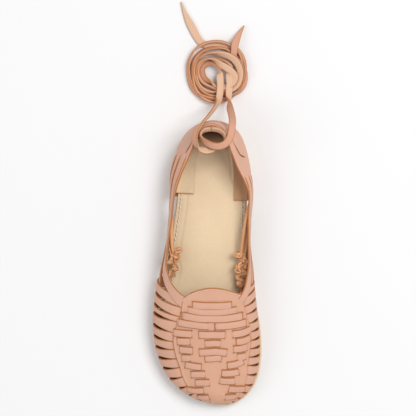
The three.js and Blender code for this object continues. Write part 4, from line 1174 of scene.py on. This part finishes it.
class SandalLeather(bpy.types.PropertyGroup):
    """The sandal's leathers, by the sides that show."""

    grain: colour_property("Grain side", "Smooth outer side of the upper", (0.70, 0.395, 0.28))
    plug: colour_property("Plug", "Grain side of the plug", (0.70, 0.388, 0.26))
    cut: colour_property("Cut edge", "Raw edge of every strip", (0.52, 0.20, 0.07))
    # The flesh side's colour is partly the leather's own brown back and partly painted shade: it is made
    # darker for the shaded inside of the counter and the vamp.
    flesh: colour_property("Flesh side", "Rough inner side of the upper", (0.36, 0.17, 0.09))
    lace: colour_property("Lace", "Grain side of the lace", (0.655, 0.34, 0.225))
    lace_flesh: colour_property("Lace flesh", "Rough side of the lace", (0.76, 0.49, 0.33))
    lace_cut: colour_property("Lace edge", "Raw edge of the lace", (0.56, 0.235, 0.095))
    insole: colour_property("Insole", "Natural leather under the foot", (0.82, 0.63, 0.41))
    sole: colour_property("Sole", "Natural leather of the outsole", (0.80, 0.62, 0.41))
    plait: colour_property("Plaits", "Knotted strip ends", (0.84, 0.43, 0.21))
    stitch: colour_property("Stitches", "Waxed thread", (0.97, 0.88, 0.72))


class SandalStage(bpy.types.PropertyGroup):
    """The floor, the lights and the camera."""

    key: bpy.props.FloatProperty(
        name="Main light", description="Strength of the large light", default=39.0, min=0, unit="POWER"
    )
    fill: bpy.props.FloatProperty(
        name="Sky", description="Strength of the even light from all round", default=0.515, min=0
    )
    height: bpy.props.FloatProperty(
        name="Camera height", description="Camera above the floor", default=1.5, min=0.5, unit="LENGTH"
    )
    view: bpy.props.FloatProperty(
        name="View height", description="Length of floor in view", default=0.367, min=0.1, unit="LENGTH"
    )


# The lamps: name, place and size in metres, share of the main light's strength.
LIGHTS = (("key", (1.0, 0.6, 2.2), 1.1, 0.95), ("side", (-1.6, -0.3, 1.8), 1.6, 0.28))
# Places of the stage in metres: what the lamps and the camera point at, the camera's x, the floor's level
# and reach.
LAMPS_AIM = Vector((0, 0.03, 0))
CAMERA_AIM = Vector((0, 0.048, 0))
CAMERA_X = 0.062
FLOOR_LEVEL = -0.0002
FLOOR_REACH = 4


def shade(name):
    """A material already made by the leathers' operator."""
    return bpy.data.materials[name]


class SANDAL_OT_leathers(bpy.types.Operator):
    """Make the leathers and the thread"""

    bl_idname = "sandal.leathers"
    bl_label = "Leathers"

    def execute(self, context):
        colours = context.scene.sandal_leather
        grain_group()
        fibre_group()
        leather("Upper leather", colours.grain, colours.cut, colours.flesh)
        leather("Plug leather", colours.plug, colours.cut, colours.flesh)
        # The lining's back colour is painted shade, laid on the medial lining by its flesh mark.
        leather("Lining leather", darker(colours.insole, 0.93), colours.cut, darker(colours.plait, 0.6), 0.6)
        # The insole's back colour is painted shade, laid on towards the toe and the heel's end by its flesh
        # mark.
        leather("Insole leather", colours.insole, colours.sole, darker(colours.flesh, 0.6), 0.5, 0.00012)
        leather("Sole leather", colours.sole, darker(colours.sole, 0.85), darker(colours.sole, 0.7), 0.6)
        leather("Plait leather", colours.plait, darker(colours.plait, 0.62), darker(colours.plait, 0.7), 0.7)
        leather("Lace leather", colours.lace, colours.lace_cut, colours.lace_flesh, 0.58)
        # Painted shade: the slits' lenses, dark where the cut opens into shade.
        leather("Slit_painted_shade", darker(colours.cut, 0.4), darker(colours.cut, 0.9), darker(colours.cut, 0.4), 0.8)
        thread("Thread", colours.stitch)
        return {"FINISHED"}


class SANDAL_OT_sole(bpy.types.Operator):
    """Make the outsole, the insole, its stitches and the linings at the heel"""

    bl_idname = "sandal.sole"
    bl_label = "Sole"

    def execute(self, context):
        build("sole_layers", [sole_shape()], shade("Sole leather"), ["outsole"], SOLE_FOLD)
        build("insole_leather", [insole_shape()], shade("Insole leather"), ["insole"], INSOLE_FOLD)
        build("insole_stitches", insole_stitches(), shade("Thread"), [])
        build("heel_linings", lining_shapes(), shade("Lining leather"), [], INSOLE_FOLD)
        return {"FINISHED"}


class SANDAL_OT_vamp(bpy.types.Operator):
    """Make the woven vamp: its plug, the rows through it, the side strips and the throat's stitches"""

    bl_idname = "sandal.vamp"
    bl_label = "Vamp"

    def execute(self, context):
        upper = shade("Upper leather")
        build("vamp_plug", [plug_shape()], shade("Plug leather"), ["upper"], LEATHER_FOLD)
        build("vamp_rows", woven_shapes(), upper, [], LEATHER_FOLD)
        sizes = context.scene.sandal_sizes
        strips = side_strip_shapes("lateral", millimetres(sizes.lateral_slots))
        strips += side_strip_shapes("medial", millimetres(sizes.medial_slots))
        build("vamp_side_strips", strips, upper, [], LEATHER_FOLD)
        build("throat_stitches", throat_stitches(), shade("Thread"), [])
        return {"FINISHED"}


class SANDAL_OT_quarter(bpy.types.Operator):
    """Make the side straps, the heel counter with its bands and the painted shade of its slits, and the
    plaits inside the waist
    """

    bl_idname = "sandal.quarter"
    bl_label = "Straps and counter"

    def execute(self, context):
        upper = shade("Upper leather")
        thickness = millimetres(context.scene.sandal_sizes.strap_thickness)
        straps = side_strap_shapes("lateral", thickness) + side_strap_shapes("medial", thickness)
        build("side_straps", straps, upper, [], LEATHER_FOLD)
        build("heel_counter", [counter_shape()], upper, [], LEATHER_FOLD)
        bands = [counter_band(*row) for row in HEEL_BANDS]
        build("heel_bands", bands, upper, [], LEATHER_FOLD)
        # The slits, as lenses painted with shade.
        build("counter_slit_shade", slit_shade_shapes(), shade("Slit_painted_shade"), [], LEATHER_FOLD)
        for name in KNOTS:
            shapes = plait(name) + plait_strands(name)
            build(name + "_plait", shapes, shade("Plait leather"), [name], LEATHER_FOLD)
        return {"FINISHED"}


class SANDAL_OT_lace(bpy.types.Operator):
    """Make the two ends of the lace, from the heel through the coil to their tips"""

    bl_idname = "sandal.lace"
    bl_label = "Lace"

    def execute(self, context):
        nodes = {"left": ["lace_knot", "lace_left_run", "lace_coil", "lace_left_tail"],
                 "right": ["lace_right_run", "lace_right_tail"]}
        sizes = context.scene.sandal_sizes
        lace_width, thickness = millimetres(sizes.lace_width), millimetres(sizes.lace_thickness)
        for side, replaced in nodes.items():
            rows = lace_line(side)
            line, face, width = rows[:, :3], rows[:, 3:6], rows[:, 6] * (lace_width / LACE_WIDTH)
            shapes = [strip(line, face, width, thickness, LACE_BEVEL)]
            lace = shade("Lace leather")
            piece = build("lace_" + side, shapes, lace, replaced, LEATHER_FOLD)
        return {"FINISHED"}


class SANDAL_OT_stage(bpy.types.Operator):
    """Make the floor, the lights and the camera"""

    bl_idname = "sandal.stage"
    bl_label = "Stage"

    def execute(self, context):
        settings = context.scene.sandal_stage
        mesh = bpy.data.meshes.new("floor")
        quarters = ((-1, -1), (1, -1), (1, 1), (-1, 1))
        corners = [(x * FLOOR_REACH, y * FLOOR_REACH, FLOOR_LEVEL) for x, y in quarters]
        mesh.from_pydata(corners, [], [(0, 1, 2, 3)])
        floor = bpy.data.objects.new("floor", mesh)
        context.scene.collection.objects.link(floor)
        paint = bpy.data.materials.new("Floor")
        paint.use_nodes = True
        paint.node_tree.nodes["Principled BSDF"].inputs["Base Color"].default_value = (0.85, 0.85, 0.855, 1)
        paint.node_tree.nodes["Principled BSDF"].inputs["Roughness"].default_value = 0.9
        mesh.materials.append(paint)
        for name, place, size, power in LIGHTS:
            light = bpy.data.lights.new(name, "AREA")
            light.size, light.energy = size, settings.key * power
            lamp = bpy.data.objects.new(name, light)
            lamp.location = place
            lamp.rotation_euler = (LAMPS_AIM - Vector(place)).to_track_quat("-Z", "Y").to_euler()
            context.scene.collection.objects.link(lamp)
        world = bpy.data.worlds.new("studio")
        world.use_nodes = True
        world.node_tree.nodes["Background"].inputs["Color"].default_value = (1, 1, 1, 1)
        world.node_tree.nodes["Background"].inputs["Strength"].default_value = settings.fill
        context.scene.world = world
        camera = bpy.data.objects.new("camera", bpy.data.cameras.new("camera"))
        camera.location = (CAMERA_X, CAMERA_AIM.y, settings.height)
        aim = CAMERA_AIM - camera.location
        camera.rotation_euler = (0, math.atan2(-aim.x, -aim.z), 0)
        camera.data.lens = camera.data.sensor_width * aim.length / settings.view
        camera.data.clip_start, camera.data.clip_end = 0.05, 20
        context.scene.collection.objects.link(camera)
        context.scene.camera = camera
        context.scene.view_settings.view_transform = "Standard"
        return {"FINISHED"}


class SANDAL_PT_panel(bpy.types.Panel):
    """Lists the sandal's sizes and colours, the stage's settings and the steps"""

    bl_label = "Sandal"
    bl_space_type = "VIEW_3D"
    bl_region_type = "UI"
    bl_category = "Sandal"

    def draw(self, context):
        scene = context.scene
        for settings in (scene.sandal_sizes, scene.sandal_leather, scene.sandal_stage):
            for name in settings.bl_rna.properties.keys():
                if name not in ("rna_type", "name"):
                    self.layout.prop(settings, name)
        for step in STEPS:
            self.layout.operator(step.bl_idname)


STEPS = (
    SANDAL_OT_stage, SANDAL_OT_leathers, SANDAL_OT_lace, SANDAL_OT_sole, SANDAL_OT_vamp, SANDAL_OT_quarter
)
CLASSES = (SandalSizes, SandalLeather, SandalStage, *STEPS, SANDAL_PT_panel)


def register():
    """Register the classes and their settings."""
    for cls in CLASSES:
        bpy.utils.register_class(cls)
    bpy.types.Scene.sandal_sizes = bpy.props.PointerProperty(type=SandalSizes)
    bpy.types.Scene.sandal_leather = bpy.props.PointerProperty(type=SandalLeather)
    bpy.types.Scene.sandal_stage = bpy.props.PointerProperty(type=SandalStage)


def unregister():
    """Undo register."""
    del bpy.types.Scene.sandal_stage, bpy.types.Scene.sandal_leather, bpy.types.Scene.sandal_sizes
    for cls in reversed(CLASSES):
        bpy.utils.unregister_class(cls)


def main():
    """Build the sandal."""
    register()
    for step in STEPS:
        getattr(bpy.ops.sandal, step.bl_idname.split(".")[1])()


if __name__ == "__main__":
    main()
